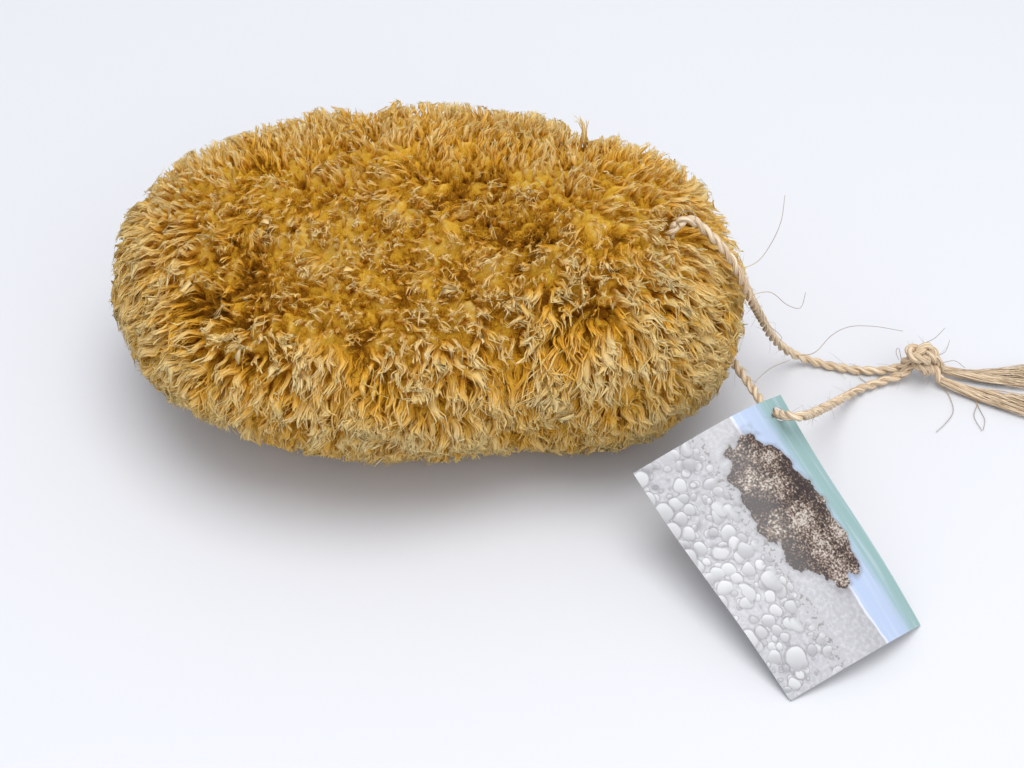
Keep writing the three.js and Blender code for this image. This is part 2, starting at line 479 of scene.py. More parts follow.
@dataclass(frozen=True)
class SpongeFinish:
    """Dry spongin, matt and letting some light through; painted shade makes it amber to dark in the depth and in the
    hollows, and it is pale where the fibres reach the air.
    """

    name: str = "dry_sponge"
    # pit and deep are the darker stops, which serve as painted shade in the depth and in pits and creases.
    pit: tuple[float, float, float] = (0.34, 0.13, 0.008)
    deep: tuple[float, float, float] = (0.84, 0.46, 0.03)
    amber: tuple[float, float, float] = (0.98, 0.63, 0.08)
    straw: tuple[float, float, float] = (0.98, 0.76, 0.30)
    tip: tuple[float, float, float] = (1.0, 0.86, 0.49)
    glow: tuple[float, float, float] = (1.0, 0.83, 0.34)
    glow_share: float = 0.55
    bump: float = 0.2 * MM

    def build(self) -> bpy.types.Material:
        """Makes the material, which reads the rise, tip, shade, hollow and streak attributes."""
        material, w, shader = new_material(self.name)
        shade = w.attribute("shade")
        place = w.add("ShaderNodeTexCoord").outputs["Object"]
        own = w.add("ShaderNodeCombineXYZ", {2: shade * 40.0}).outputs[0]
        patch = w.noise(place, 45.0, 3.0)
        fibre = w.noise(w.vector("ADD", w.attribute("streak", "Vector"), own), 1.0, 3.0, 0.7)
        fleck = w.noise(place, 1500.0, 2.0, 0.6)
        # Painted shade: the level falls deep below the outline, where rise is low, and where hollow is high, in pits,
        # creases and clump valleys.
        level = w.attribute("rise") * 0.60 + w.attribute("tip") * 0.32 + 0.15 - w.attribute("hollow") * 0.85
        for source, share in ((patch, 0.45), (fibre, 1.05), (fleck, 0.6), (shade, 0.14)):
            level = level + (source - 0.5) * share
        stops = (
            (0.0, self.pit), (0.22, self.deep), (0.48, self.amber), (0.74, self.straw), (1.0, self.tip),
        )
        colour = w.ramp(level, stops)
        normal = w.bump(fibre + fleck * 0.6, 1.0, self.bump)
        w.feed(shader, "Base Color", colour)
        w.feed(shader, "Normal", normal)
        w.feed(shader, "Roughness", 0.9)
        w.feed(shader, "Specular IOR Level", 0.05)
        warm = w.blend(0.5, colour, self.glow)
        through = w.add("ShaderNodeBsdfTranslucent", {"Color": warm, "Normal": normal})
        both = w.add("ShaderNodeMixShader", {
            "Fac": self.glow_share, 1: shader.outputs[0], 2: through.outputs[0],
        })
        w.feed(material.node_tree.nodes["Material Output"], "Surface", both.outputs[0])
        return material


# ---------------------------------------------------------------- paths and tubes


def smooth_path(points: Array, step: float) -> Array:
    """A centripetal Catmull-Rom curve through the points, cut into even steps.

    Args:
        points: The points of the route.
        step: The distance between neighbours on the result.

    Returns:
        Points along the curve, its two ends included.
    """
    route = np.asarray(points, float)
    route = np.vstack([2 * route[0] - route[1], route, 2 * route[-1] - route[-2]])
    dense = []
    for i in range(1, len(route) - 2):
        corners = route[i - 1 : i + 3]
        gaps = np.linalg.norm(np.diff(corners, axis=0), axis=1) ** 0.5
        knots = np.cumsum([0.0, *gaps])
        t = np.linspace(knots[1], knots[2], 24, endpoint=i == len(route) - 3)[:, None]

        def between(first: Array, second: Array, low: int, high: int) -> Array:
            """Two curves blended from one knot to another."""
            reach = knots[high] - knots[low]
            return (knots[high] - t) / reach * first + (t - knots[low]) / reach * second

        sides = [between(corners[n], corners[n + 1], n, n + 1) for n in range(3)]
        halves = [between(sides[n], sides[n + 1], n, n + 2) for n in range(2)]
        dense.append(between(*halves, 1, 2))
    return even_steps(np.vstack(dense), step)


def travelled(path: Array) -> Array:
    """The distance along a path at each of its points."""
    return np.concatenate([[0.0], np.cumsum(np.linalg.norm(np.diff(path, axis=0), axis=1))])


def even_steps(path: Array, step: float) -> Array:
    """The same path with its points at even distances."""
    along = travelled(path)
    count = max(3, int(round(along[-1] / step)) + 1)
    wanted = np.linspace(0, along[-1], count)
    return np.column_stack([np.interp(wanted, along, path[:, axis]) for axis in range(3)])


def frames(path: Array) -> tuple[Array, Array]:
    """Two directions across the path at each point, carried along without twist."""
    ahead = unit(np.gradient(path, axis=0))
    first = np.cross(ahead[0], (0.0, 0.0, 1.0))
    if np.linalg.norm(first) < 0.2:
        first = np.cross(ahead[0], (0.0, 1.0, 0.0))
    across = [unit(first)]
    for direction in ahead[1:]:
        carried = across[-1] - direction * (across[-1] @ direction)
        across.append(unit(carried))
    across = np.array(across)
    return across, np.cross(ahead, across)


@dataclass
class MeshParts:
    """Tubes gathered into one mesh, with a lay vector that runs along and around each of them."""

    points: list = field(default_factory=list)
    faces: list = field(default_factory=list)
    lay: list = field(default_factory=list)
    tips: list = field(default_factory=list)
    count: int = 0

    def tube(
        self, path: Array, radius: Array, sides: int, ridges: Array | None = None, mark: float = 0.0
    ) -> None:
        """Adds one closed tube.

        Args:
            path: Its centre line.
            radius: Its radius at each point of the path.
            sides: How many sides it has.
            ridges: A factor on the radius for each ring and side.
            mark: A number of its own, so that no two tubes look alike.
        """
        across, over = frames(path)
        turn = np.linspace(0, 2 * math.pi, sides, endpoint=False)
        size = np.asarray(radius)[:, None] * (1.0 if ridges is None else ridges) * np.ones((1, sides))
        ring = across[:, None] * np.cos(turn)[None, :, None] + over[:, None] * np.sin(turn)[None, :, None]
        body = path[:, None] + ring * size[:, :, None]
        along = travelled(path)
        lay = np.stack([
            np.repeat(along[:, None], sides, 1),
            size * np.cos(turn)[None] + mark,
            size * np.sin(turn)[None] - mark,
        ], -1)
        rings = len(path)
        start = self.count
        grid = start + np.arange(rings * sides).reshape(rings, sides)
        near, far = grid[:-1], grid[1:]
        quads = np.stack([near, np.roll(near, -1, 1), np.roll(far, -1, 1), far], -1).reshape(-1, 4)
        self.faces += quads.tolist()
        self.faces.append(grid[0][::-1].tolist())
        self.faces.append(grid[-1].tolist())
        self.points.append(body.reshape(-1, 3))
        self.lay.append(lay.reshape(-1, 3))
        self.tips.append(np.repeat(along / along[-1], sides))
        self.count += rings * sides

    def build(self, name: str) -> bpy.types.Object:
        """Makes the object."""
        made = new_object(name, np.vstack(self.points), self.faces)
        store(made, "lay", np.vstack(self.lay))
        store(made, "tip", np.concatenate(self.tips))
        return made


# ---------------------------------------------------------------- the twine


@dataclass(frozen=True)
class Lay:
    """How the sisal is laid: two yarns around each other, each of them twisted fibre."""

    diameter: float = 2.7 * MM
    pitch: float = 8.4 * MM
    step: float = 0.45 * MM
    sides: int = 18
    fibres: int = 7
    ridge: float = 0.075
    yarn_radius: float = 0.288

    def yarns(self, path: Array, phase: float) -> list[Array]:
        """The centre lines of the two yarns."""
        across, over = frames(path)
        turn = phase + 2 * math.pi * travelled(path) / self.pitch
        offset = self.diameter * 0.25
        side = across * np.cos(turn)[:, None] + over * np.sin(turn)[:, None]
        return [path + side * offset, path - side * offset]

    def add(self, parts: MeshParts, path: Array, phase: float, seed: int, scale: float = 1.0) -> float:
        """Adds a stretch of twine.

        Args:
            parts: The mesh it goes into.
            path: Its centre line.
            phase: The turn of the yarns at its start, in radians.
            seed: The seed of its unevenness.
            scale: A factor on its thickness.

        Returns:
            The turn of the yarns at its end.
        """
        rng = np.random.default_rng(seed)
        along = travelled(path)
        for number, yarn in enumerate(self.yarns(path, phase)):
            uneven = 1 + 0.05 * np.sin(along / (7.1 * MM) + rng.uniform(0, 6))
            uneven += 0.035 * np.sin(along / (2.3 * MM) + rng.uniform(0, 6))
            around = np.linspace(0, 2 * math.pi, self.sides, endpoint=False)[None]
            twist = -2 * math.pi * along[:, None] / (self.pitch * 1.7) + rng.uniform(0, 6)
            ridges = 1 + self.ridge * np.sin(self.fibres * around + twist * 2)
            ridges += 0.6 * self.ridge * np.sin(3 * around - twist + rng.uniform(0, 6))
            radius = self.diameter * self.yarn_radius * scale * uneven
            parts.tube(yarn, radius, self.sides, ridges, mark=0.01 * (seed + 3 * number))
        return phase + 2 * math.pi * along[-1] / self.pitch


@dataclass(frozen=True)
class SisalFinish:
    """Dry sisal: pale straw fibres with brown between them."""

    name: str = "sisal"
    shadow: tuple[float, float, float] = (0.24, 0.15, 0.075)
    straw: tuple[float, float, float] = (0.56, 0.42, 0.27)
    pale: tuple[float, float, float] = (0.80, 0.69, 0.52)
    along: float = 120.0
    across: float = 2600.0

    def build(self) -> bpy.types.Material:
        """Makes the material, which reads the lay attribute."""
        material, w, shader = new_material(self.name)
        stretch = (self.along, self.across, self.across)
        fibre = w.noise(w.vector("MULTIPLY", w.attribute("lay", "Vector"), stretch), 1.0, 3.0, 0.65)
        stops = ((0.30, self.shadow), (0.47, self.straw), (0.68, self.pale))
        w.feed(shader, "Base Color", w.ramp(fibre, stops))
        w.feed(shader, "Normal", w.bump(fibre, 0.6, 0.12 * MM))
        w.feed(shader, "Roughness", 0.6)
        w.feed(shader, "Specular IOR Level", 0.3)
        return material


@dataclass(frozen=True)
class HairFinish:
    """A single weathered sisal hair, greyer than the twine away from its root."""

    name: str = "loose_hair"
    root: tuple[float, float, float] = (0.62, 0.47, 0.27)
    weathered: tuple[float, float, float] = (0.30, 0.25, 0.19)

    def build(self) -> bpy.types.Material:
        """Makes the material, which reads the tip attribute."""
        material, w, shader = new_material(self.name)
        stops = ((0.0, self.root), (0.45, self.weathered))
        w.feed(shader, "Base Color", w.ramp(w.attribute("tip"), stops))
        w.feed(shader, "Roughness", 0.55)
        return material


THREADED_ROUTE = (
    (0.0731, -0.0152, 0.0798), (0.0721, -0.0151, 0.0786), (0.0712, -0.0147, 0.0760),
    (0.0713, -0.0140, 0.0720), (0.0732, -0.0134, 0.0630), (0.0766, -0.0130, 0.0500),
    (0.0808, -0.0126, 0.0390), (0.0858, -0.0128, 0.0312), (0.0904, -0.0142, 0.0276),
    (0.0932, -0.0164, 0.0264),
)
UPPER_ROUTE = (
    (0.0735, -0.0152, 0.0803), (0.0747, -0.0152, 0.0814), (0.0768, -0.0144, 0.0810),
    (0.0796, -0.0140, 0.0786), (0.0825, -0.0144, 0.0757), (0.0856, -0.0150, 0.0726),
    (0.0884, -0.0159, 0.0690), (0.0912, -0.0168, 0.0644), (0.0936, -0.0173, 0.0593),
    (0.0958, -0.0165, 0.0536), (0.0980, -0.0130, 0.0468), (0.1004, -0.0080, 0.0392),
    (0.1030, -0.0026, 0.0306), (0.1062, 0.0016, 0.0218), (0.1100, 0.0052, 0.0138),
    (0.1140, 0.0076, 0.0079), (0.1184, 0.0089, 0.0039), (0.1234, 0.0086, 0.0020),
    (0.1294, 0.0069, 0.0016), (0.1364, 0.0054, 0.0016), (0.1434, 0.0048, 0.0018),
    (0.1500, 0.0049, 0.0031),
)
LOWER_ROUTE = (
    (0.0935, -0.0169, 0.0263), (0.0952, -0.0202, 0.0259), (0.0970, -0.0246, 0.0260),
    (0.0986, -0.0292, 0.0264), (0.1001, -0.0342, 0.0273), (0.1016, -0.0390, 0.0290),
    (0.1030, -0.0430, 0.0315), (0.1042, -0.0470, 0.0349), (0.1056, -0.0502, 0.0379),
    (0.1077, -0.0513, 0.0388), (0.1098, -0.0496, 0.0372), (0.1117, -0.0458, 0.0336),
    (0.1139, -0.0408, 0.0290), (0.1170, -0.0339, 0.0228), (0.1208, -0.0262, 0.0166),
    (0.1252, -0.0186, 0.0108), (0.1298, -0.0116, 0.0061), (0.1344, -0.0058, 0.0030),
    (0.1390, -0.0022, 0.0018), (0.1442, 0.0000, 0.0020), (0.1498, 0.0014, 0.0031),
)
TAIL_UPPER_ROUTE = (
    (0.1630, 0.0040, 0.0032), (0.1690, 0.0030, 0.0024), (0.1770, 0.0022, 0.0019),
    (0.1870, 0.0024, 0.0019), (0.1980, 0.0038, 0.0019),
)
TAIL_LOWER_ROUTE = (
    (0.1622, -0.0010, 0.0032), (0.1686, -0.0040, 0.0024), (0.1770, -0.0076, 0.0019),
    (0.1866, -0.0108, 0.0019), (0.1970, -0.0138, 0.0019),
)


@dataclass
class Knot:
    """The overhand knot: both strands laid in one loose knot, then drawn tight."""

    diameter: float = 2.45 * MM
    points: int = 64
    rounds: int = 900
    loose: float = 1.35 * MM
    tight: float = 0.85 * MM
    open_at: tuple[float, float, float] = (156.5, -2.0, 12.0)
    open_size: tuple[float, float, float] = (3.0, 2.2, 1.6)
    half_gap: float = 1.35 * MM
    lowest: float = 1.5 * MM
    smoothing: float = 0.14
    push: float = 0.25

    def loose_knot(self) -> Array:
        """Two side-by-side strands in an open overhand knot."""
        t = np.linspace(-2.12, 2.12, self.points)
        shape = np.column_stack([t**3 - 3 * t, -(t**4 - 4 * t**2), 0.28 * (t**5 - 10 * t)])
        shape[:, 1] = np.maximum(shape[:, 1], -1.2)
        shape *= np.array(self.open_size) * MM
        shape += np.array(self.open_at) * MM
        side = np.array([0.0, 0.0, self.half_gap])
        return np.stack([shape + side, shape - side])

    def tighten(self) -> tuple[Array, Array]:
        """Draws the loose knot tight with its ends held.

        Returns:
            The centre lines of the upper and the lower strand through the knot.
        """
        strands = self.loose_knot()
        count = self.points
        ends = np.array([[UPPER_ROUTE[-1], TAIL_UPPER_ROUTE[0]], [LOWER_ROUTE[-1], TAIL_LOWER_ROUTE[0]]])
        index = np.arange(count)
        far_along = np.abs(index[:, None] - index[None]) > 3
        other = np.ones((count, count), bool)
        apart = np.block([[far_along, other], [other, far_along]])
        for turn in range(self.rounds):
            share = min(1.0, turn / (self.rounds * 0.8))
            rest = self.loose + (self.tight - self.loose) * share
            pull = 0.05 + 0.95 * min(1.0, turn / (self.rounds * 0.3))
            for end, slot in ((0, 0), (1, count - 1)):
                strands[:, slot] += (ends[:, end] - strands[:, slot]) * pull
            for parity in (0, 1, 0, 1):
                near, far = strands[:, parity:-1:2], strands[:, parity + 1 :: 2]
                width = min(near.shape[1], far.shape[1])
                near, far = near[:, :width], far[:, :width]
                gap = far - near
                length = np.linalg.norm(gap, axis=-1, keepdims=True)
                fix = gap * (0.5 * (length - rest) / np.maximum(length, 1e-9))
                near += fix
                far -= fix
            middle = (strands[:, :-2] + strands[:, 2:]) / 2
            strands[:, 1:-1] += self.smoothing * (middle - strands[:, 1:-1])
            both = strands.reshape(-1, 3)
            gap = both[:, None] - both[None]
            length = np.linalg.norm(gap, axis=-1)
            press = (self.diameter - length) / np.maximum(length, 1e-9)
            press = np.where(apart & (length < self.diameter), press, 0)
            both += self.push * (gap * press[..., None]).sum(1)
            both[:, 2] = np.maximum(both[:, 2], self.lowest)
            strands = both.reshape(2, count, 3)
        for end, slot in ((0, 0), (1, count - 1)):
            strands[:, slot] = ends[:, end]
        return strands[0], strands[1]


@dataclass
class Tail:
    """One unlaid end of the twine: combed-out fibres that spread and wander."""

    name: str
    route: tuple
    seed: int
    fibres: int = 104
    fibre_radius: float = 0.22 * MM
    start_radius: float = 1.35 * MM
    end_width: float = 5.0 * MM
    end_height: float = 1.4 * MM
    floor_gap: float = 0.3 * MM

    def build(self) -> bpy.types.Object:
        """Makes the fibres."""
        rng = np.random.default_rng(self.seed)
        guide = smooth_path(self.route, 1.6 * MM)
        across, over = frames(guide)
        along = travelled(guide) / travelled(guide)[-1]
        parts = MeshParts()
        for number in range(self.fibres):
            angle = rng.uniform(0, 2 * math.pi)
            rim = math.sqrt(rng.uniform(0.02, 1))
            turn = angle + 1.9 * along + 0.5 * np.sin(along * rng.uniform(2, 7) + rng.uniform(0, 6))
            open_up = smooth_step(0.0, 0.95, along)
            wide = self.start_radius + (self.end_width - self.start_radius) * open_up
            high = self.start_radius + (self.end_height - self.start_radius) * open_up
            wander = np.sin(along * rng.uniform(5, 12) + rng.uniform(0, 6)) * 0.5 * MM * open_up
            line = guide + across * (np.cos(turn) * rim * wide + wander)[:, None]
            line = line + over * (np.sin(turn) * rim * high)[:, None]
            last = int(len(line) * rng.uniform(0.78, 1.0))
            line = even_steps(line[: max(6, last)], 1.2 * MM)
            if rng.uniform() < 0.25:
                line[:, 1] += np.linspace(0, 1, len(line)) ** 2 * rng.uniform(-3, 3) * MM
            line[:, 2] = np.maximum(line[:, 2], self.floor_gap)
            taper = np.linspace(1.0, 0.45, len(line))
            parts.tube(line, self.fibre_radius * rng.uniform(0.6, 1.25) * taper, 5, mark=0.01 * number)
        return parts.build(self.name)


@dataclass
class LooseHairs:
    """The stray hairs that spring from the twine and the knot, and the short fuzz along it."""

    radius: float = 0.12 * MM
    fuzz: int = 150
    fuzz_radius: float = 0.05 * MM
    floor_gap: float = 0.3 * MM
    long_hairs: tuple = (
        ((91, -17, 64), (97, -15.2, 65.8), (100.7, -11.9, 69.1), (103.9, -7, 74), (105.1, -1.5, 79.5)),
        ((95, -16.5, 53.6), (101.8, -15.7, 54.4), (107, -18.4, 51.7), (110.6, -19, 51.1),
         (112.3, -15.7, 54.4)),
        ((117, 8.2, 5.2), (121.8, 3.1, 11.7), (127.1, 6.9, 15.5), (132.2, 8.7, 17.3), (139.8, 8.9, 17.5),
         (149.6, 7.8, 16.4)),
        ((98, -29, 26.3), (98.6, -27.3, 28.3), (103.1, -24.3, 31.3), (109.1, -22.4, 33.2)),
        ((155, 4.6, 9), (156.2, 6.8, 11.2), (160.3, 8.4, 12.8), (163.5, 10.7, 15.1)),
        ((159, 3.6, 6.5), (161.4, 4.9, 8.3), (163.7, 5.8, 9.2), (165.2, 8.5, 11.9)),
        ((160, 3.4, 5.6), (163.8, 4, 6.4), (167, 4.3, 6.7), (170.2, 2.7, 5.1)),
        ((161, 3, 4.2), (167.1, 2.4, 4.4), (173.4, 2.2, 4.2), (181.4, 0.6, 2.6)),
        ((161, 0, 2.4), (163.7, -2.6, 0.6), (164.9, -7.1, 0.5), (164.7, -12.4, 0.5), (161.3, -17.6, 0.5),
         (158, -21.1, 0.5)),
        ((171, -5, 2), (172.4, -7.3, 0.8), (173.3, -11.5, 0.5), (174.1, -15.9, 0.5), (172.8, -20.2, 0.5)),
        ((171.6, -5.6, 2), (172.9, -8.4, 0.6), (171, -14.1, 0.5), (172.4, -20.6, 0.5)),
        ((150.6, 4, 4.6), (148.9, 7.4, 9.8), (148.2, 6.3, 8.7), (149.2, 4.5, 6.9)),
        ((136.6, 4, 1.6), (137.6, 2.3, 0.6), (139, 1, 0.5), (139.8, -0.8, 0.5)),
        ((102.6, -4, 32), (107.7, -8.6, 30.4), (108.3, -9.3, 29.7), (107.4, -10.4, 28.6)),
        ((73.6, -15.4, 80.2), (74.9, -16, 80.2), (73.2, -14.8, 81.6), (74.3, -13.3, 83), (77.2, -13.3, 83),
         (78.3, -14.8, 81.5), (76.6, -16, 80.4)),
    )

    def build(self, name: str, lines: tuple[Array, ...]) -> bpy.types.Object:
        """Makes the hairs.

        Args:
            name: The piece's name.
            lines: The centre lines that the short fuzz grows from.

        Returns:
            One joined mesh.
        """
        rng = np.random.default_rng(31)
        parts = MeshParts()
        for number, hair in enumerate(self.long_hairs):
            line = smooth_path(np.array(hair) * MM, 1.0 * MM)
            line[:, 2] = np.maximum(line[:, 2], self.floor_gap)
            parts.tube(line, self.radius * np.linspace(1.15, 0.7, len(line)), 5, mark=0.01 * number)
        spots = np.vstack(lines)
        for number in range(self.fuzz):
            at = rng.integers(4, len(spots) - 4)
            ahead = unit(spots[at + 3] - spots[at - 3])
            aside = unit(np.cross(ahead, rng.normal(size=3)))
            if np.linalg.norm(spots[at + 3] - spots[at - 3]) > 8 * MM:
                continue
            length = rng.uniform(1.6, 5.2) * MM
            t = np.linspace(0, 1, 7)[:, None]
            lean = ahead * rng.choice([-1, 1]) * rng.uniform(0.5, 1.4)
            line = spots[at] + aside * 1.0 * MM + (aside * t * 0.75 + lean * t**1.3) * length
            line = line + np.cross(aside, ahead) * np.sin(t * 3 + rng.uniform(0, 6)) * 0.4 * MM
            line[:, 2] = np.maximum(line[:, 2], self.floor_gap - self.fuzz_radius)
            parts.tube(line, self.fuzz_radius * np.linspace(1.2, 0.5, 7), 3, mark=0.01 * number)
        return parts.build(name)


@dataclass
class Twine:
    """The sisal twine: threaded through the sponge, tied in one overhand knot, both ends frayed."""

    lay: Lay = field(default_factory=Lay)
    turn_per_stretch: float = 0.4
    knot_swelling: float = 1.12

    def build(self) -> list[bpy.types.Object]:
        finish = SisalFinish().build()
        pieces = []
        stretches = {}
        phases = {}
        routes = (
            ("twine_upper", UPPER_ROUTE), ("twine_lower", LOWER_ROUTE), ("twine_threaded", THREADED_ROUTE),
        )
        for seed, (name, route) in enumerate(routes, start=1):
            path = smooth_path(route, self.lay.step)
            parts = MeshParts()
            phases[name] = self.lay.add(parts, path, self.turn_per_stretch * seed, seed)
            stretches[name] = path
            pieces.append(dress(parts.build(f"{name}_strand"), finish, Slot.SISAL, name))
        parts = MeshParts()
        through = Knot().tighten()
        for number, (strand, name) in enumerate(zip(through, ("twine_upper", "twine_lower"))):
            path = smooth_path(strand, self.lay.step)
            self.lay.add(parts, path, phases[name], 5 + number, scale=self.knot_swelling)
        knot = dress(parts.build("overhand_knot"), finish, Slot.SISAL, "knot")
        tails = [
            dress(Tail("tail_upper_fibres", TAIL_UPPER_ROUTE, 8).build(), finish, Slot.SISAL, "tail_upper"),
            dress(Tail("tail_lower_fibres", TAIL_LOWER_ROUTE, 9).build(), finish, Slot.SISAL, "tail_lower"),
        ]
        drawn = [even_steps(strand, self.lay.step) for strand in through]
        lines = (stretches["twine_upper"], stretches["twine_lower"], *drawn)
        hairs = dress(LooseHairs().build("loose_hairs", lines), HairFinish().build(), Slot.SISAL)
        for piece, name, extras in zip(pieces, ("twine_upper", "twine_lower"), ([knot, *tails, hairs], [])):
            path = stretches[name]
            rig.cord(
                piece,
                exit=tuple(path[0]),
                length=float(travelled(path)[-1]),
                diameter=self.lay.diameter,
                far_end="knot",
                stiffness="stiff",
                lay="loose",
                path=[tuple(point) for point in path[::4]] + [tuple(path[-1])],
                with_pieces=extras,
            )
        return [*pieces, knot, *tails, hairs]


# ---------------------------------------------------------------- the tag


@dataclass(frozen=True)
class BeachPrint:
    """The picture on the tag: the sea's edge, sand, pebbles and a raw sponge, with no words on it."""

    name: str = "printed_card"
    teal: tuple[float, float, float] = (0.23, 0.36, 0.35)
    surf: tuple[float, float, float] = (0.37, 0.45, 0.60)
    sand: tuple[float, float, float] = (0.335, 0.335, 0.35)
    wet_sand: tuple[float, float, float] = (0.19, 0.18, 0.175)
    stone: tuple[float, float, float] = (0.47, 0.475, 0.475)
    card: tuple[float, float, float] = (0.66, 0.67, 0.68)
    raw_dark: tuple[float, float, float] = (0.022, 0.012, 0.010)
    raw_middle: tuple[float, float, float] = (0.16, 0.11, 0.08)
    raw_pale: tuple[float, float, float] = (0.46, 0.42, 0.37)
    glint: tuple[float, float, float] = (0.50, 0.57, 0.66)
    foam: tuple[float, float, float] = (0.60, 0.62, 0.66)
    dry_sand: tuple[float, float, float] = (0.43, 0.43, 0.44)
    dark_stone: tuple[float, float, float] = (0.27, 0.27, 0.285)
    lit_stone: tuple[float, float, float] = (0.57, 0.58, 0.59)
    shadow: tuple[float, float, float] = (0.16, 0.155, 0.16)
    gap_between: tuple[float, float, float] = (0.15, 0.145, 0.15)
    pebble_sizes: tuple = ((30.0, 0.64, 0.9), (17.0, 0.68, 0.85), (10.5, 0.72, 0.55))

    def build(self) -> bpy.types.Material:
        """Makes the material, which reads the card's own UV map and its printed attribute."""
        material, w, shader = new_material(self.name)
        uv = w.add("ShaderNodeUVMap", uv_map="card").outputs["UV"]
        even = w.vector("MULTIPLY", uv, (0.7, 1.0, 1.0))
        parts = w.add("ShaderNodeSeparateXYZ", {0: uv}).outputs
        s, t = Value(w, parts[0]), Value(w, parts[1])
        soft = w.noise(even, 7.0, 4.0)
        fine = w.noise(even, 60.0, 3.0)
        grain = w.noise(even, 260.0, 2.0)
        streak = w.noise(w.vector("MULTIPLY", uv, (26.0, 2.2, 1.0)), 1.0, 3.0)
        shore = s + t * 0.075 + (soft - 0.5) * 0.05
        sea = w.blend(w.step(shore, 0.13, 0.25), self.teal, self.surf)
        sea = w.blend(w.step(streak, 0.45, 0.75) * 0.45, sea, self.glint)
        ground = w.blend(w.step(fine, 0.35, 0.75), self.sand, self.dry_sand)
        ground = w.blend(w.step(grain, 0.60, 0.72) * 0.5, ground, self.wet_sand)
        debris = w.band(s - soft * 0.12, 0.56, 0.05) * w.step(fine, 0.50, 0.62)
        ground = w.blend(debris, ground, self.wet_sand)
        ground = self.pebbles(w, even, s + soft * 0.25, ground)
        picture = w.blend(w.step(shore, 0.375, 0.40), sea, ground)
        picture = w.blend(w.band(shore, 0.385, 0.012) * 0.8, picture, self.foam)
        picture = self.raw_sponge(w, even, s, t, picture)
        w.feed(shader, "Base Color", w.blend(w.attribute("printed"), self.card, picture))
        w.feed(shader, "Roughness", 0.32)
        w.feed(shader, "Specular IOR Level", 0.5)
        return material

    def pebbles(self, w: Wires, place: object, inland: Value, under: object) -> object:
        """Lays packed rounded pebbles along the far side of the beach.

        Args:
            w: The material's wires.
            place: Where each point is on the card.
            inland: How far each point is from the sea.
            under: The colour of the ground.

        Returns:
            The colour with the pebbles on it.
        """
        bent = w.cloud(place, 9.0, 2.0).outputs["Color"]
        moved = w.vector("ADD", place, w.vector("SCALE", bent, 0.05))
        colour = under
        for scale, start, share in self.pebble_sizes:
            inputs = {"Vector": moved, "Scale": scale, "Randomness": 0.75}
            cells = w.add("ShaderNodeTexVoronoi", inputs).outputs
            picks = w.add("ShaderNodeSeparateColor", {0: cells["Color"]}).outputs
            chosen, size, hue = (Value(w, pick) for pick in picks)
            where = w.step(chosen, 1 - share, 1 - share + 0.02) * w.step(inland, start + 0.08, start + 0.14)
            gap = Value(w, cells["Distance"]) - (size * 0.16 + 0.36)
            colour = w.blend(where * w.step(gap, 0.14, 0.0) * 0.55, colour, self.gap_between)
            toward = w.vector("SUBTRACT", moved, cells["Position"])
            light = Value(w, w.vector("DOT_PRODUCT", toward, (-0.45 * scale, -0.85 * scale, 0.0)))
            tone = w.blend(hue, self.dark_stone, self.stone)
            tone = w.blend(w.step(light, -0.1, 0.5) * 0.8, tone, self.lit_stone)
            tone = w.blend(w.step(light, 0.0, -0.5) * 0.5, tone, self.shadow)
            colour = w.blend(where * w.step(gap, 0.01, -0.05), colour, tone)
        return colour

    def raw_sponge(self, w: Wires, place: object, s: Value, t: Value, under: object) -> object:
        """Lays a lumpy, porous brown sponge in the middle.

        Args:
            w: The material's wires.
            place: Where each point is on the card.
            s: The share of the way across the card.
            t: The share of the way down the card.
            under: The colour of the beach.

        Returns:
            The colour with the sponge on it.
        """
        across = (s - (0.42 - t * 0.12)) / 0.235
        along = (t - 0.41) / 0.355
        reach = across * across + along * along + (w.noise(place, 11.0, 5.0) - 0.5) * 1.5
        bent = w.cloud(place, 14.0, 3.0).outputs["Color"]
        moved = w.vector("ADD", place, w.vector("SCALE", bent, 0.09))
        lumps = w.add("ShaderNodeTexVoronoi", {"Vector": moved, "Scale": 9.5}).outputs
        hue = Value(w, w.add("ShaderNodeSeparateColor", {0: lumps["Color"]}).outputs[0])
        crust = hue * 0.24 + 0.56 - Value(w, lumps["Distance"]) * 0.85
        crust = crust + (w.noise(place, 120.0, 3.0) - 0.5) * 2.5 + (w.noise(place, 55.0, 2.0) - 0.5) * 1.4
        crust = crust - w.step(across, 0.0, 0.9) * 0.34 + w.step(t, 0.35, 0.62) * 0.16
        stops = ((0.02, self.raw_dark), (0.40, self.raw_middle), (0.86, self.raw_pale))
        colour = w.blend(w.step(reach, 1.15, 0.86) * 0.55, under, self.shadow)
        return w.blend(w.step(reach, 0.90, 0.86), colour, w.ramp(crust, stops))


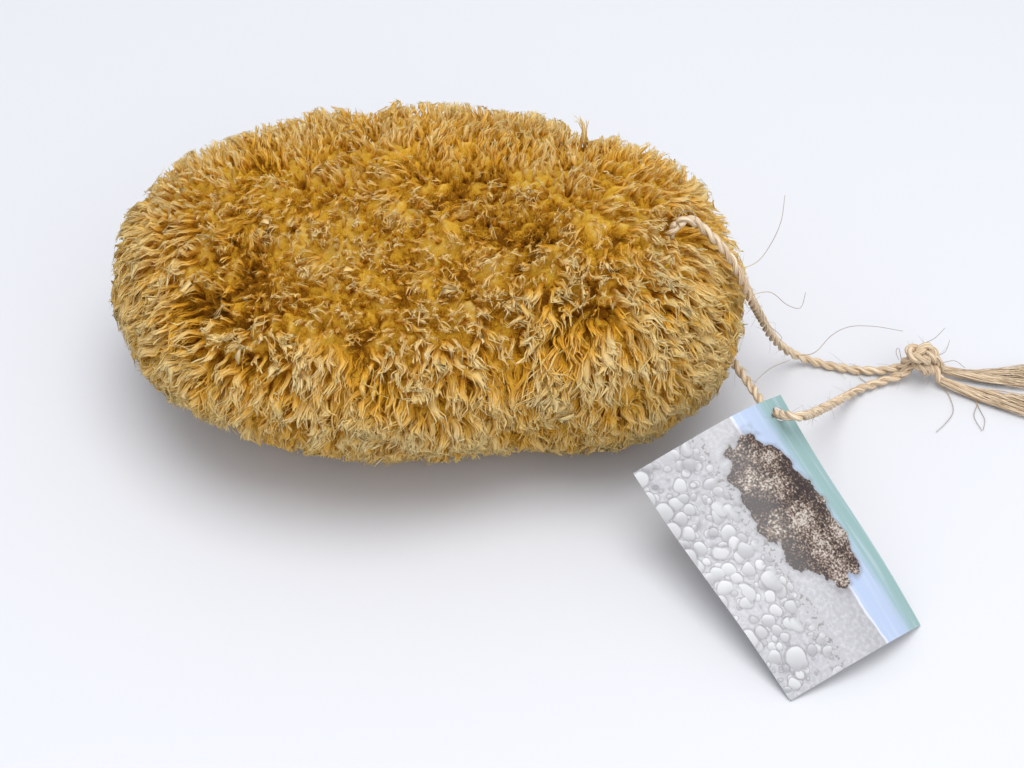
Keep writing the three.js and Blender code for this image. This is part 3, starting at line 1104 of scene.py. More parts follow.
@dataclass
class Tag:
    """The bowed card: its four corners, its bow and its punched hole."""

    hung: tuple[float, float, float] = (0.1047, -0.0372, 0.0332)
    leaning: tuple[float, float, float] = (0.0606, -0.0637, 0.0282)
    front_foot: tuple[float, float, float] = (0.1023, -0.1228, 0.0005)
    right_foot: tuple[float, float, float] = (0.1418, -0.0968, 0.0005)
    thickness: float = 0.4 * MM
    bow: float = 6.6 * MM
    bow_lean: float = 0.12
    curl: float = 1.1 * MM
    hole_at: tuple[float, float] = (0.088, 0.066)
    hole_radius: float = 2.3 * MM
    columns: int = 44
    rows: int = 64
    hole_sides: int = 48

    def face(self) -> Array:
        """The direction that the printed side faces."""
        hung, leaning, right = (np.array(p) for p in (self.hung, self.leaning, self.right_foot))
        return unit(np.cross(leaning - hung, right - hung))

    def point(self, s: Array, t: Array) -> Array:
        """Points in the middle of the card's thickness."""
        s, t = np.asarray(s)[:, None], np.asarray(t)[:, None]
        top = np.array(self.hung) * (1 - s) + np.array(self.leaning) * s
        foot = np.array(self.right_foot) * (1 - s) + np.array(self.front_foot) * s
        bend = np.sin(math.pi * (s + self.bow_lean * np.sin(math.pi * s)))
        rise = self.bow * bend - self.curl * np.sin(2 * math.pi * t) * (1 - bend)
        return top * (1 - t) + foot * t + self.face() * rise

    def layout(self) -> tuple[Array, list, list]:
        """The card's points and triangles in its own two directions, with the hole left out.

        Returns:
            The points, the triangles, and the loops of the rim and the hole.
        """
        width = np.linalg.norm(np.array(self.leaning) - np.array(self.hung))
        height = np.linalg.norm(np.array(self.right_foot) - np.array(self.hung))
        turn = np.linspace(0, 2 * math.pi, self.hole_sides, endpoint=False)
        hole = np.column_stack([
            self.hole_at[0] + np.cos(turn) * self.hole_radius / width,
            self.hole_at[1] + np.sin(turn) * self.hole_radius / height,
        ])
        s = np.linspace(0, 1, self.columns + 1)
        t = np.linspace(0, 1, self.rows + 1)
        rim = [(a, 0.0) for a in s[:-1]] + [(1.0, b) for b in t[:-1]]
        rim += [(a, 1.0) for a in s[:0:-1]] + [(0.0, b) for b in t[:0:-1]]

        def away(a: float, b: float) -> float:
            """The distance from the middle of the hole."""
            return math.hypot((a - self.hole_at[0]) * width, (b - self.hole_at[1]) * height)

        clear = self.hole_radius * 1.25
        inner = [(a, b) for a in s[1:-1] for b in t[1:-1] if away(a, b) > clear]
        spots = np.array([*rim, *hole, *inner])
        rim_loop = list(range(len(rim)))
        hole_loop = list(range(len(rim), len(rim) + len(hole)))
        loops = [(a, b) for loop in (rim_loop, hole_loop) for a, b in zip(loop, loop[1:] + loop[:1])]
        cut = delaunay_2d_cdt([Vector(p) for p in spots], loops, [], 0, 1e-7)
        triangles = []
        for face in cut[2]:
            middle = np.mean([cut[0][i][:] for i in face], axis=0)
            if away(*middle) > self.hole_radius * 0.99:
                triangles.append(list(face))
        return np.array([p[:] for p in cut[0]]), triangles, [rim_loop, hole_loop]

    def build(self) -> bpy.types.Object:
        """Makes the card."""
        spots, triangles, loops = self.layout()
        middle = self.point(spots[:, 0], spots[:, 1])
        step = 1e-3
        ds = self.point(spots[:, 0] + step, spots[:, 1]) - self.point(spots[:, 0] - step, spots[:, 1])
        dt = self.point(spots[:, 0], spots[:, 1] + step) - self.point(spots[:, 0], spots[:, 1] - step)
        normal = unit(np.cross(ds, dt))
        count = len(spots)
        points = np.vstack([middle + normal * self.thickness / 2, middle - normal * self.thickness / 2])
        faces = [list(t) for t in triangles] + [[i + count for i in t[::-1]] for t in triangles]
        walls = []
        for number, loop in enumerate(loops):
            for a, b in zip(loop, loop[1:] + loop[:1]):
                walls.append([b, a, a + count, b + count] if number == 0 else [a, b, b + count, a + count])
        card = new_object("tag_card", points, faces + walls)
        form = bmesh.new()
        form.from_mesh(card.data)
        bmesh.ops.recalc_face_normals(form, faces=form.faces)
        form.to_mesh(card.data)
        form.free()
        mesh = card.data
        corners = np.zeros(len(mesh.loops), int)
        mesh.loops.foreach_get("vertex_index", corners)
        mesh.uv_layers.new(name="card")
        mesh.uv_layers["card"].data.foreach_set("uv", np.vstack([spots, spots])[corners].ravel())
        front = Vector(self.face())
        shown = [p.index < len(faces) and p.normal.dot(front) > 0 for p in mesh.polygons]
        printed = np.repeat(np.array(shown, np.float32), [p.loop_total for p in mesh.polygons])
        mesh.attributes.new("printed", "FLOAT", "CORNER")
        mesh.attributes["printed"].data.foreach_set("value", printed)
        mesh.polygons.foreach_set("use_smooth", [p.index < len(faces) for p in mesh.polygons])
        mesh.set_sharp_from_angle(angle=math.radians(40))
        return dress(card, BeachPrint().build(), Slot.CARD, "tag")


# ---------------------------------------------------------------- the sponge


@dataclass(frozen=True)
class Pit:
    """A hollow where tufts part: its place on the body, its width and its depth."""

    place: tuple[float, float, float]
    radius: float = 3.0
    depth: float = 5.0


@dataclass(frozen=True)
class Crease:
    """A line along which tufts part: its route on the body, its width, its depth and how much painted shade it gets.
    """

    route: tuple
    width: float = 3.4
    depth: float = 6.0
    # Painted shade given to the crease.
    dark: float = 0.55


@dataclass
class SpongeShape:
    """The body of the sponge by rule: the soft maximum of six lobes, sunk by the length of its tufts."""

    heart: tuple[float, float, float] = (0, 0, 40)
    lobes: tuple = (
        ((-46, 8, 38), (52, 47, 43)),
        ((-19.5, -17.5, 43), (66, 45.5, 32.5)),
        ((-11.5, 17.5, 48), (67, 45, 38)),
        ((50.5, -2.5, 42), (46, 50.5, 45)),
        ((23, 12.5, 43.5), (50, 48.5, 40.5)),
        ((4, -2.5, 37), (83.5, 53, 39.5)),
    )
    blend: float = 0.22
    spread: tuple[float, float, float] = (1.55, 1.0, 0.7)
    fineness: int = 122
    sink_top: float = 5.2
    sink_side: float = 5.9
    sink_base: float = 2.5
    proud: float = 2.0
    comb_down: float = 0.95
    comb_forward: float = 0.62
    comb_aside: float = 0.4
    comb_away: float = 0.7
    lock_height: float = 1.5
    base_gap: float = 0.15
    pore_depth: float = 5.5
    pits: tuple[Pit, ...] = (
        Pit((2, 8, 82), 3.6, 7), Pit((20, 8, 81), 3.6, 8), Pit((9, 1, 80), 5.2, 8),
        Pit((26, -11, 78), 4.0, 7), Pit((31, -17, 77), 4.8, 8), Pit((28, -23, 74), 3.2, 6),
        Pit((2, -11, 76), 3, 5), Pit((2, -21, 73), 3, 5), Pit((14, -31, 69), 3, 5),
        Pit((50, -38, 69), 4, 4), Pit((-61, -15, 70), 4.4, 5), Pit((-48, -26, 69), 4, 6),
        Pit((-61, -30, 63), 4.5, 6), Pit((-49, -36, 65), 4, 6), Pit((-60, -40, 57), 3, 5),
        Pit((-57, -46, 53), 3, 5), Pit((-47, -47, 58), 3, 5), Pit((-22, -26, 72), 3, 4),
        Pit((-21, -44, 65), 2.6, 4), Pit((-6, -43, 65), 2.6, 4),
        Pit((-20, 46, 72), 4, 5), Pit((18, 50, 66), 4, 5), Pit((44, 42, 62), 4, 5),
        Pit((-60, 30, 64), 4, 5), Pit((10, 58, 50), 3.5, 5), Pit((-40, 52, 46), 4, 5),
        Pit((48.5, 41, 71), 4.2, 9), Pit((49, 34, 75), 4.2, 9), Pit((-18.9, 47, 76), 3.4, 8),
        Pit((-17.5, 39, 79), 3.2, 7),
    )
    creases: tuple[Crease, ...] = (
        Crease((
            (-22, 52, 62), (-24, 43, 72), (-26, 33, 78), (-31, 13, 81),
            (-38, 1, 79), (-46, -18, 72), (-48, -26, 69), (-48, -35, 66),
        )),
        Crease((
            (-18, 40, 76), (-10, 27, 81), (-4, 16, 82), (2, 8, 82),
            (9, 4, 81), (20, 7, 81), (26, -11, 78), (31, -17, 77),
        )),
        Crease(((46, 48, 60), (48, 40, 68), (49, 30, 74), (43, 11, 82), (35, -12, 81), (31, -19, 77))),
        Crease(((57, -21, 79), (54, -30, 75), (50, -38, 69))),
        Crease(
            ((74, -15, 80), (80, -14, 79), (86, -15, 73), (91, -17, 64), (96, -16, 54), (98, -13, 47)),
            3.0, 2.2, 0.15,
        ),
    )

    def ball(self) -> tuple[Array, list]:
        """Points and faces of a round ball made of six bulged grids."""
        count = self.fineness
        steps = np.tan(np.linspace(-math.pi / 4, math.pi / 4, count + 1))
        u, v = np.meshgrid(steps, steps, indexing="ij")
        flat = np.stack([u, v, np.ones_like(u)], -1).reshape(-1, 3)
        grid = np.arange((count + 1) ** 2).reshape(count + 1, count + 1)
        quads = np.stack([grid[:-1, :-1], grid[1:, :-1], grid[1:, 1:], grid[:-1, 1:]], -1).reshape(-1, 4)
        turns = (
            ((1, 0, 0), (0, 1, 0), (0, 0, 1)), ((0, 1, 0), (1, 0, 0), (0, 0, -1)),
            ((0, 1, 0), (0, 0, 1), (1, 0, 0)), ((0, 0, 1), (0, 1, 0), (-1, 0, 0)),
            ((0, 0, 1), (1, 0, 0), (0, 1, 0)), ((1, 0, 0), (0, 0, 1), (0, -1, 0)),
        )
        points = np.vstack([unit(flat @ np.array(turn, float)) for turn in turns])
        corners = np.vstack([quads + number * len(flat) for number in range(6)])
        _, first, same = np.unique(np.round(points, 6), axis=0, return_index=True, return_inverse=True)
        return points[first], same.reshape(-1)[corners].tolist()

    def reach(self, directions: Array) -> Array:
        """How far the outline reaches from the heart in each direction, in millimetres."""
        reaches = []
        for centre, half in self.lobes:
            size = np.array(half, float)
            ahead = directions / size
            offset = (np.array(self.heart, float) - np.array(centre, float)) / size
            a = (ahead * ahead).sum(1)
            b = (ahead * offset).sum(1)
            inside = b * b - a * ((offset * offset).sum() - 1.0)
            reaches.append(np.where(inside > 0, (np.sqrt(np.maximum(inside, 0)) - b) / a, 0.0))
        stack = np.maximum(np.array(reaches), 0.0)
        longest = stack.max(0)
        return longest + np.log(np.exp(self.blend * (stack - longest)).sum(0)) / self.blend

    def hollows(self, points: Array) -> tuple[Array, Array, Array, Array]:
        """What the pits and creases do at each point of the outline.

        Args:
            points: Points of the outline, in millimetres.

        Returns:
            The depth of the hollow, the share of tufts that is missing, the push away from the hollow, and
            how much painted shade each point gets.
        """
        depth = np.zeros(len(points))
        bare = np.zeros(len(points))
        push = np.zeros_like(points)
        dark = np.zeros(len(points))
        ragged = 1.0 + 0.9 * np.array([noise.noise(Vector(p)) for p in points / 3.6])
        for pit in self.pits:
            away = points - np.array(pit.place, float)
            gap = np.linalg.norm(away, axis=1) * ragged
            well = np.exp(-((gap / (pit.radius * 1.2)) ** 2))
            depth = np.maximum(depth, 1.35 * pit.depth * well)
            # Painted shade, darkest in the middle of each pit.
            dark = np.maximum(dark, 0.9 * np.exp(-((gap / pit.radius) ** 2)))
            bare = np.maximum(bare, 1.0 - smooth_step(0.4, 0.7, gap / pit.radius))
            push += unit(away) * (np.exp(-((gap / (pit.radius * 2.0)) ** 2)))[:, None] * 1.3
        for crease in self.creases:
            line = np.array(crease.route, float)
            nearest = np.full(len(points), 1e9)
            away = np.zeros_like(points)
            for start, end in zip(line[:-1], line[1:]):
                run = end - start
                t = np.clip(((points - start) @ run) / (run @ run), 0, 1)
                offset = points - (start + t[:, None] * run)
                gap = np.linalg.norm(offset, axis=1)
                closer = gap < nearest
                nearest = np.where(closer, gap, nearest)
                away[closer] = offset[closer]
            nearest *= ragged
            well = np.exp(-((nearest / crease.width) ** 2))
            depth = np.maximum(depth, crease.depth * well)
            # Painted shade along each crease.
            dark = np.maximum(dark, crease.dark * well)
            push += unit(away) * np.exp(-((nearest / (1.6 * crease.width)) ** 2))[:, None] * 1.1
        return depth, bare, push, dark

    @staticmethod
    def flank(normals: Array) -> Array:
        """How far each place belongs to the sides, from 0 on the crown to 1."""
        up = normals[:, 2]
        front = 1.0 - smooth_step(0.6, 0.97, up)
        behind = smooth_step(0.1, 0.5, normals[:, 1])
        return front * (1 - behind) + behind * (1.0 - smooth_step(0.1, 0.55, up))

    def comb(self, points: Array, normals: Array, flank: Array, push: Array) -> Array:
        """The direction in which the tufts lie: down the sides, forward on the crown, apart at the hollows.

        Args:
            points: Points of the outline, in millimetres.
            normals: The direction outwards at each of them.
            flank: How far each of them belongs to the sides.
            push: The push away from the hollows.

        Returns:
            One direction for each point.
        """
        up = normals[:, 2]
        down = np.array([0.0, 0.0, -1.0]) - normals * (-up)[:, None]
        down = unit(down) * flank[:, None]
        forward = np.array([0.0, -1.0, 0.0])
        rear = 1.0 - 2.0 * smooth_step(-4.0, 20.0, points[:, 1] + 0.08 * points[:, 0])
        forward = (forward - normals * (normals @ forward)[:, None]) * ((1 - flank) * rear)[:, None]
        aside = np.zeros_like(points)
        aside[:, 0] = points[:, 0] / 90.0
        aside -= normals * (aside * normals).sum(1)[:, None]
        wander = 0.26 + 0.18 * flank + 0.42 * smooth_step(0.75, 0.95, up)
        upright = 0.6 * smooth_step(0.62, 0.92, up)
        comb = normals * (0.55 - 0.12 * flank + upright)[:, None] + down * self.comb_down
        comb = comb + forward * self.comb_forward + aside * self.comb_aside
        comb = comb + self.waves(points) * wander[:, None]
        return unit(comb + push * self.comb_away)

    def build(self) -> tuple[bpy.types.Object, bpy.types.Object]:
        """Makes the body, with what the tufts need to grow on it.

        Returns:
            The body with its fill, length, comb, out and flank attributes, and the outline that the
            tips of the tufts keep to.
        """
        directions, faces = self.ball()
        directions = unit(directions * np.array(self.spread))
        points = np.array(self.heart, float) + directions * self.reach(directions)[:, None]
        middle = (points.max(0) + points.min(0)) / 2
        points[:, :2] -= middle[:2]
        outline = new_object("outline", points * MM, faces)
        normals = np.zeros(len(points) * 3)
        outline.data.vertices.foreach_get("normal", normals)
        normals = normals.reshape(-1, 3)
        depth, bare, push, dark = self.hollows(points)
        swell = self.swell(points)
        dip = 0.8 * depth + swell - self.proud
        outline.data.vertices.foreach_set("co", ((points - normals * dip[:, None]) * MM).ravel())
        outline.data.update()
        store(outline, "dip", np.maximum(0.0, dip) * MM)
        up = normals[:, 2]
        flank = self.flank(normals)
        comb = self.comb(points, normals, flank, push)
        grain = self.locks(points, normals, comb)
        sink = self.sink_side + (self.sink_top - self.sink_side) * smooth_step(0.6, 0.95, up)
        sink -= (self.sink_side - self.sink_base) * smooth_step(0.55, 0.95, -up)
        sink += self.relief(points) + 0.6 * swell - 1.2
        sink -= self.lock_height * grain * (1 - smooth_step(0.7, 0.95, -up))
        points = points - normals * (sink + depth)[:, None]
        base = smooth_step(1.0, -1.0, points[:, 2])
        pore = np.array([max(0.0, 0.62 - noise.voronoi(Vector(p) / 4.2)[0][0]) for p in points]) * base
        points[:, 2] = np.maximum(points[:, 2], self.base_gap + self.pore_depth * pore)
        crest = 1.0 - smooth_step(0.8, 2.4, swell)
        under = smooth_step(0.5, 0.9, -up)
        values = {
            "comb": comb,
            "out": normals,
            "fill": (1.0 - bare) * smooth_step(0.1, 3.0, points[:, 2]) * (1 - 0.5 * under),
            "flank": flank,
            "length": (1.0 - 0.5 * dark) * (0.71 + 0.49 * flank),
            # Painted shade: hollow darkens pits, creases and the valleys between clumps, and is less on the clump
            # crests.
            "hollow": np.maximum(dark, 0.3 * smooth_step(2.0, 4.2, swell)) - 0.16 * crest,
            # Painted light: rise darkens with depth and in the pores at the base, and rise and tip lighten the lock
            # ridges.
            "rise": np.clip(0.87 - (sink + depth) / 10.0 + 0.14 * grain - 0.9 * pore, 0, 1),
            "tip": np.clip(0.10 + 0.35 * grain, 0, 1),
            "shade": np.full(len(points), 0.5),
            "streak": points * np.array([2.6, 2.6, 1.0]),
        }
        body = new_object("sponge_body", points * MM, faces)
        for name, value in values.items():
            store(body, name, value)
        return body, outline

    @staticmethod
    def locks(points: Array, normals: Array, comb: Array) -> Array:
        """Ridges and grooves that run along the combed direction, from -1 to 1."""
        along = unit(comb - normals * (comb * normals).sum(1)[:, None])
        total = np.zeros(len(points))
        for step in (-4.5, -3.0, -1.5, 0.0, 1.5, 3.0, 4.5):
            total += [noise.noise(Vector(p)) for p in (points + along * step) / 1.9]
        return np.clip(total / (2.2 * total.std()), -1, 1)

    @staticmethod
    def swell(points: Array) -> Array:
        """How far the clumps of tufts dip below the outline, in millimetres."""
        moved = []
        for point in points:
            spot = Vector(point)
            wide = 0.5 - 0.5 * noise.noise(spot / 15.0)
            clump = min(1.0, noise.voronoi(spot / 7.5)[0][0] * 1.3)
            moved.append(2.4 * wide + 2.4 * clump)
        return np.array(moved)

    @staticmethod
    def relief(points: Array) -> Array:
        """How far lumps and pores move the body's surface inwards, in millimetres."""
        moved = []
        for point in points:
            spot = Vector(point)
            lump = noise.fractal(spot / 9.0, 1.0, 2.0, 3)
            pore = noise.voronoi(spot / 3.4)[0]
            moved.append(1.5 * lump + 1.8 * max(0.0, 0.42 - pore[0]))
        return np.array(moved)

    @staticmethod
    def waves(points: Array) -> Array:
        """A smooth wandering direction at each point, which clumps and parts the tufts."""
        rng = np.random.default_rng(5)
        wander = np.zeros_like(points)
        for size in (34.0, 19.0, 11.0, 7.0):
            for _ in range(5):
                heading = unit(rng.normal(size=3)) * (2 * math.pi / size)
                swing = unit(rng.normal(size=3))
                wander += np.sin(points @ heading + rng.uniform(0, 2 * math.pi))[:, None] * swing
        return wander / 2.8


@dataclass
class TuftKind:
    """One tuft: a flat felted lock with fine fibres along it, which part and curl at the torn tip."""

    seed: int
    fibres: int = 4
    rings: int = 5
    length: float = 11.5
    width: float = 2.3
    fibre_width: float = 0.65
    thickness: float = 0.75
    split: float = 0.55
    wave: float = 0.7
    curl: float = 2.2
    points: list = field(default_factory=list)
    faces: list = field(default_factory=list)
    tips: list = field(default_factory=list)
    streaks: list = field(default_factory=list)

    def band(
        self, line: Array, breadth: Array, depth: Array, turn: Array, t: Array, mark: float, corners: int
    ) -> None:
        """Adds one closed flat band.

        Args:
            line: Its centre line.
            breadth: Its width at each ring.
            depth: Its thickness at each ring.
            turn: How far it is turned about its line at each ring, in radians.
            t: How far along the tuft each ring is, from 0 to 1.
            mark: A number of its own for the streaks.
            corners: How many corners its section has.
        """
        across = np.column_stack([np.cos(turn), np.sin(turn), np.zeros_like(t)])
        through = np.column_stack([-np.sin(turn), np.cos(turn), np.full_like(t, 0.1)])
        angles = np.linspace(0, 2 * math.pi, corners, endpoint=False)
        start = len(self.points)
        for ring in range(len(t)):
            for number, angle in enumerate(angles):
                side = across[ring] * (math.cos(angle) * breadth[ring] / 2)
                rise = through[ring] * (math.sin(angle) * depth[ring] / 2)
                self.points.append(line[ring] + side + rise)
                self.tips.append(t[ring])
                lane = mark + math.cos(angle) * breadth[ring] * 2.6
                self.streaks.append((lane, t[ring] * 3.0, mark * 0.7))
        for ring in range(len(t) - 1):
            low = start + corners * ring
            for side in range(corners):
                after = (side + 1) % corners
                self.faces.append((low + side, low + after, low + corners + after, low + corners + side))
        last = start + corners * (len(t) - 1)
        self.points.append(line[-1] + (line[-1] - line[-2]) * 0.4)
        self.tips.append(t[-1])
        self.streaks.append((mark, t[-1] * 3.0, mark * 0.7))
        peak = len(self.points) - 1
        self.faces += [(last + side, last + (side + 1) % corners, peak) for side in range(corners)]
        self.faces.append(tuple(start + side for side in reversed(range(corners))))

    def build(self, name: str) -> bpy.types.Object:
        """Makes the tuft growing along +Z, with its face towards +Y."""
        rng = np.random.default_rng(self.seed)
        phase, turns = rng.uniform(0, 2 * math.pi), rng.uniform(0.9, 1.6)
        bow = rng.uniform(-0.2, 1.0)
        reach = self.length * rng.uniform(0.8, 1.05)
        twist = rng.uniform(-0.8, 0.8)

        def spine(t: Array) -> Array:
            """The lock's centre line."""
            x = self.wave * (np.sin(2 * math.pi * turns * t + phase) - math.sin(phase))
            return np.column_stack([x, bow * np.sin(math.pi * t), reach * t])

        t = np.linspace(0, rng.uniform(0.72, 0.9), self.rings)
        uneven = 1 + 0.25 * np.sin(11 * t + phase)
        breadth = self.width * (0.5 + 0.5 * np.sin(math.pi * (0.15 + 0.85 * t))) * uneven * (1 - 0.35 * t)
        breadth[-1] *= 0.45
        self.band(spine(t), breadth, self.thickness * (1.1 - 0.7 * t), twist * t, t, 0.0, 4)
        for number in range(self.fibres):
            lane = (number - (self.fibres - 1) / 2) / max(1.0, (self.fibres - 1) / 2)
            first = rng.uniform(0.0, 0.3)
            t = np.linspace(first, rng.uniform(0.85, 1.12), self.rings)
            free = np.maximum(0.0, t - rng.uniform(self.split - 0.2, self.split + 0.15))
            own = rng.uniform(0, 2 * math.pi)
            aside, over = rng.uniform(-1, 1, 2) * self.curl
            line = spine(t)
            frizz = 0.22 + 0.5 * t
            line[:, 0] += lane * self.width * 0.42 + frizz * 0.7 * np.sin(8.5 * t + own)
            line[:, 0] += (aside + lane * 0.9) * free**1.4 * 2.0
            line[:, 1] += 0.34 * rng.choice([-1, 1, 1]) + frizz * 0.5 * np.cos(7.0 * t + own)
            line[:, 1] += over * free**1.5 * 2.0
            line[:, 2] -= abs(aside) * free**2 * 1.5
            breadth = self.fibre_width * rng.uniform(0.6, 1.5) * (1.1 - 0.55 * t)
            turn = 0.8 * np.sin(own + 3.0 * t)
            self.band(line, breadth, breadth * 0.55, turn, np.minimum(1.0, t), 3.1 + 7.3 * number, 3)
        tuft = new_object(name, np.array(self.points) * MM, self.faces)
        store(tuft, "tip", np.array(self.tips))
        store(tuft, "streak", np.array(self.streaks))
        return tuft


@dataclass
class TuftField:
    """The tufts over the whole body, grown by one node tree and split along X into pieces."""

    INPUTS = (
        ("Body", "Geometry"), ("Kinds", "Collection"), ("Finish", "Material"), ("Spacing", "Float"),
        ("Low X", "Float"), ("High X", "Float"), ("Stray", "Float"), ("Ruffle", "Float"),
        ("Floor", "Float"), ("Seed", "Int"), ("Outline", "Object"), ("Overshoot", "Float"),
        ("Locks", "Int"), ("Kinds In All", "Int"),
    )

    locks: int = 9
    fingers: int = 7
    spacing: float = 2.1 * MM
    densest: float = 400000.0
    sizes: tuple[float, float] = (0.7, 1.15)
    stray: float = 0.5
    stray_turn: tuple[float, float, float] = (0.5, 0.5, 1.2)
    ruffle: float = 3.6 * MM
    ruffle_scale: float = 300.0
    rise_per_metre: float = 105.0
    seed: int = 4
    pieces: int = 6
    floor_gap: float = 0.3 * MM
    overshoot: float = 0.1

    def collection(self) -> bpy.types.Collection:
        """Makes the tuft kinds, kept out of the scene: broad locks first, then slim fingers."""
        kinds = bpy.data.collections.new("tuft_kinds")
        makers = [TuftKind(seed=100 + n) for n in range(self.locks)]
        makers += [
            TuftKind(seed=200 + n, fibres=3, width=1.7, split=0.6, wave=0.45, curl=1.6)
            for n in range(self.fingers)
        ]
        for number, maker in enumerate(makers):
            tuft = maker.build(f"tuft_kind_{number:02d}")
            bpy.context.scene.collection.objects.unlink(tuft)
            kinds.objects.link(tuft)
        return kinds

    def tree(self) -> bpy.types.NodeTree:
        """Builds the node tree that grows tufts on a body between two X limits."""
        tree = bpy.data.node_groups.new("grow_tufts", "GeometryNodeTree")
        for name, kind in self.INPUTS:
            tree.interface.new_socket(name, in_out="INPUT", socket_type=f"NodeSocket{kind}")
        tree.interface.new_socket("Tufts", in_out="OUTPUT", socket_type="NodeSocketGeometry")
        w = Wires(tree)
        given = w.add("NodeGroupInput").outputs
        tufts = self.plant(w, given)
        cloud = w.cloud(w.place(), self.ruffle_scale, 2.0, 0.65).outputs["Color"]
        centred = w.vector("SUBTRACT", cloud, (0.5, 0.5, 0.5))
        offset = w.vector("SCALE", centred, w.named("tip") * given["Ruffle"])
        ruffled = w.add("GeometryNodeSetPosition", {"Geometry": tufts, "Offset": offset}).outputs[0]
        held = self.hold_in(w, ruffled, given["Outline"], given["Overshoot"])
        spot = w.add("ShaderNodeSeparateXYZ", {0: w.place()}).outputs
        height = w.math("MAXIMUM", spot[2], given["Floor"])
        laid = w.add("ShaderNodeCombineXYZ", {0: spot[0], 1: spot[1], 2: height}).outputs[0]
        settled = w.add("GeometryNodeSetPosition", {"Geometry": held, "Position": laid}).outputs[0]
        paint = w.add("GeometryNodeSetMaterial", {"Geometry": settled, "Material": given["Finish"]})
        w.add("NodeGroupOutput", {0: paint.outputs[0]})
        return tree

    def plant(self, w: Wires, given: bpy.types.bpy_prop_collection) -> bpy.types.NodeSocket:
        """Stands a tuft of a random kind, turn and size on scattered points, and realizes them.

        Args:
            w: The tree's wires.
            given: The tree's inputs.

        Returns:
            The tufts as one mesh, each with its own shade.
        """
        scatter = w.add("GeometryNodeDistributePointsOnFaces", {
            "Mesh": given["Body"], "Distance Min": given["Spacing"], "Density Max": self.densest,
            "Density Factor": w.named("fill"), "Seed": given["Seed"],
        }, distribute_method="POISSON")
        x = w.add("ShaderNodeSeparateXYZ", {0: w.place()}).outputs["X"]
        outside = w.math("LESS_THAN", x, given["Low X"]) + w.math("GREATER_THAN", x, given["High X"])
        kept = w.add("GeometryNodeDeleteGeometry", {
            "Geometry": scatter.outputs["Points"], "Selection": outside,
        }, domain="POINT")
        aim = w.add("FunctionNodeAxesToRotation", {
            "Primary Axis": w.named("comb", "FLOAT_VECTOR"),
            "Secondary Axis": w.named("out", "FLOAT_VECTOR"),
        }, primary_axis="Z", secondary_axis="Y")
        high = w.vector("SCALE", self.stray_turn, given["Stray"])
        low = w.vector("SCALE", high, -1.0)
        euler = w.add("FunctionNodeEulerToRotation", {0: w.random("FLOAT_VECTOR", low, high, 3)})
        turn = w.add("FunctionNodeRotateRotation", {
            "Rotation": aim.outputs[0], "Rotate By": euler.outputs[0],
        }, rotation_space="LOCAL")
        kinds = w.add("GeometryNodeCollectionInfo", {
            "Collection": given["Kinds"], "Separate Children": True, "Reset Children": True,
        }, transform_space="ORIGINAL")
        lock = w.random("INT", 0, w.math("SUBTRACT", given["Locks"], 1), 17)
        finger = w.random("INT", given["Locks"], w.math("SUBTRACT", given["Kinds In All"], 1), 19)
        broad = w.math("LESS_THAN", w.random("FLOAT", 0.0, 1.0, 23), w.named("flank") * 0.7 + 0.3)
        pick = w.add("GeometryNodeSwitch", {
            "Switch": broad, "False": finger, "True": lock,
        }, input_type="INT")
        stand = w.add("GeometryNodeInstanceOnPoints", {
            "Points": kept.outputs[0], "Instance": kinds.outputs[0], "Pick Instance": True,
            "Instance Index": pick.outputs[0], "Rotation": turn.outputs[0],
            "Scale": w.random("FLOAT", *self.sizes, 7) * w.named("length"),
        })
        mark = w.add("GeometryNodeStoreNamedAttribute", {
            "Geometry": stand.outputs[0], "Name": "shade", "Value": w.random("FLOAT", 0.0, 1.0, 11),
        }, data_type="FLOAT", domain="INSTANCE")
        return w.add("GeometryNodeRealizeInstances", {0: mark.outputs[0]}).outputs[0]

    def hold_in(
        self, w: Wires, tufts: object, outline: object, overshoot: object
    ) -> bpy.types.NodeSocket:
        """Stores how high each point rises towards the outline, and draws in what stands past it.

        Args:
            w: The tree's wires.
            tufts: The realized tufts.
            outline: The shape that their tips keep to.
            overshoot: The share of what stands past the outline that is left.

        Returns:
            The tufts, drawn in.
        """
        shape = w.add("GeometryNodeObjectInfo", {"Object": outline}, transform_space="ORIGINAL")
        shape = shape.outputs["Geometry"]
        place = w.place()
        near = w.add("GeometryNodeProximity", {0: shape, "Sample Position": place}, target_element="FACES")

        def sample(value: object, kind: str) -> bpy.types.NodeSocket:
            """Reads a value at the nearest place on the shape."""
            inputs = {"Mesh": shape, "Value": value, "Sample Position": place}
            return w.add("GeometryNodeSampleNearestSurface", inputs, data_type=kind).outputs[0]

        facing = sample(w.add("GeometryNodeInputNormal").outputs[0], "FLOAT_VECTOR")
        away = w.vector("SUBTRACT", place, near.outputs["Position"])
        height = Value(w, w.vector("DOT_PRODUCT", away, facing))
        # A low rise, deep among the tufts, gets painted shade in the material.
        risen = (height - sample(w.named("dip"), "FLOAT")) * self.rise_per_metre
        rise = w.math("ADD", risen, 1.0, clamp=True)
        mark = w.add("GeometryNodeStoreNamedAttribute", {
            "Geometry": tufts, "Name": "rise", "Value": rise,
        }, data_type="FLOAT", domain="POINT")
        back = w.math("MAXIMUM", height, 0.0) * w.math("SUBTRACT", overshoot, 1.0)
        return w.add("GeometryNodeSetPosition", {
            "Geometry": mark.outputs[0], "Offset": w.vector("SCALE", facing, back),
        }).outputs[0]

    def limits(self, body: bpy.types.Object) -> list[tuple[float, float]]:
        """X limits that share the body's area evenly among the pieces."""
        centres = np.array([p.center[0] for p in body.data.polygons])
        areas = np.array([p.area for p in body.data.polygons])
        order = np.argsort(centres)
        share = np.cumsum(areas[order]) / areas.sum()
        cuts = [centres[order][np.searchsorted(share, n / self.pieces)] for n in range(1, self.pieces)]
        edges = [-1.0, *cuts, 1.0]
        return list(zip(edges[:-1], edges[1:]))

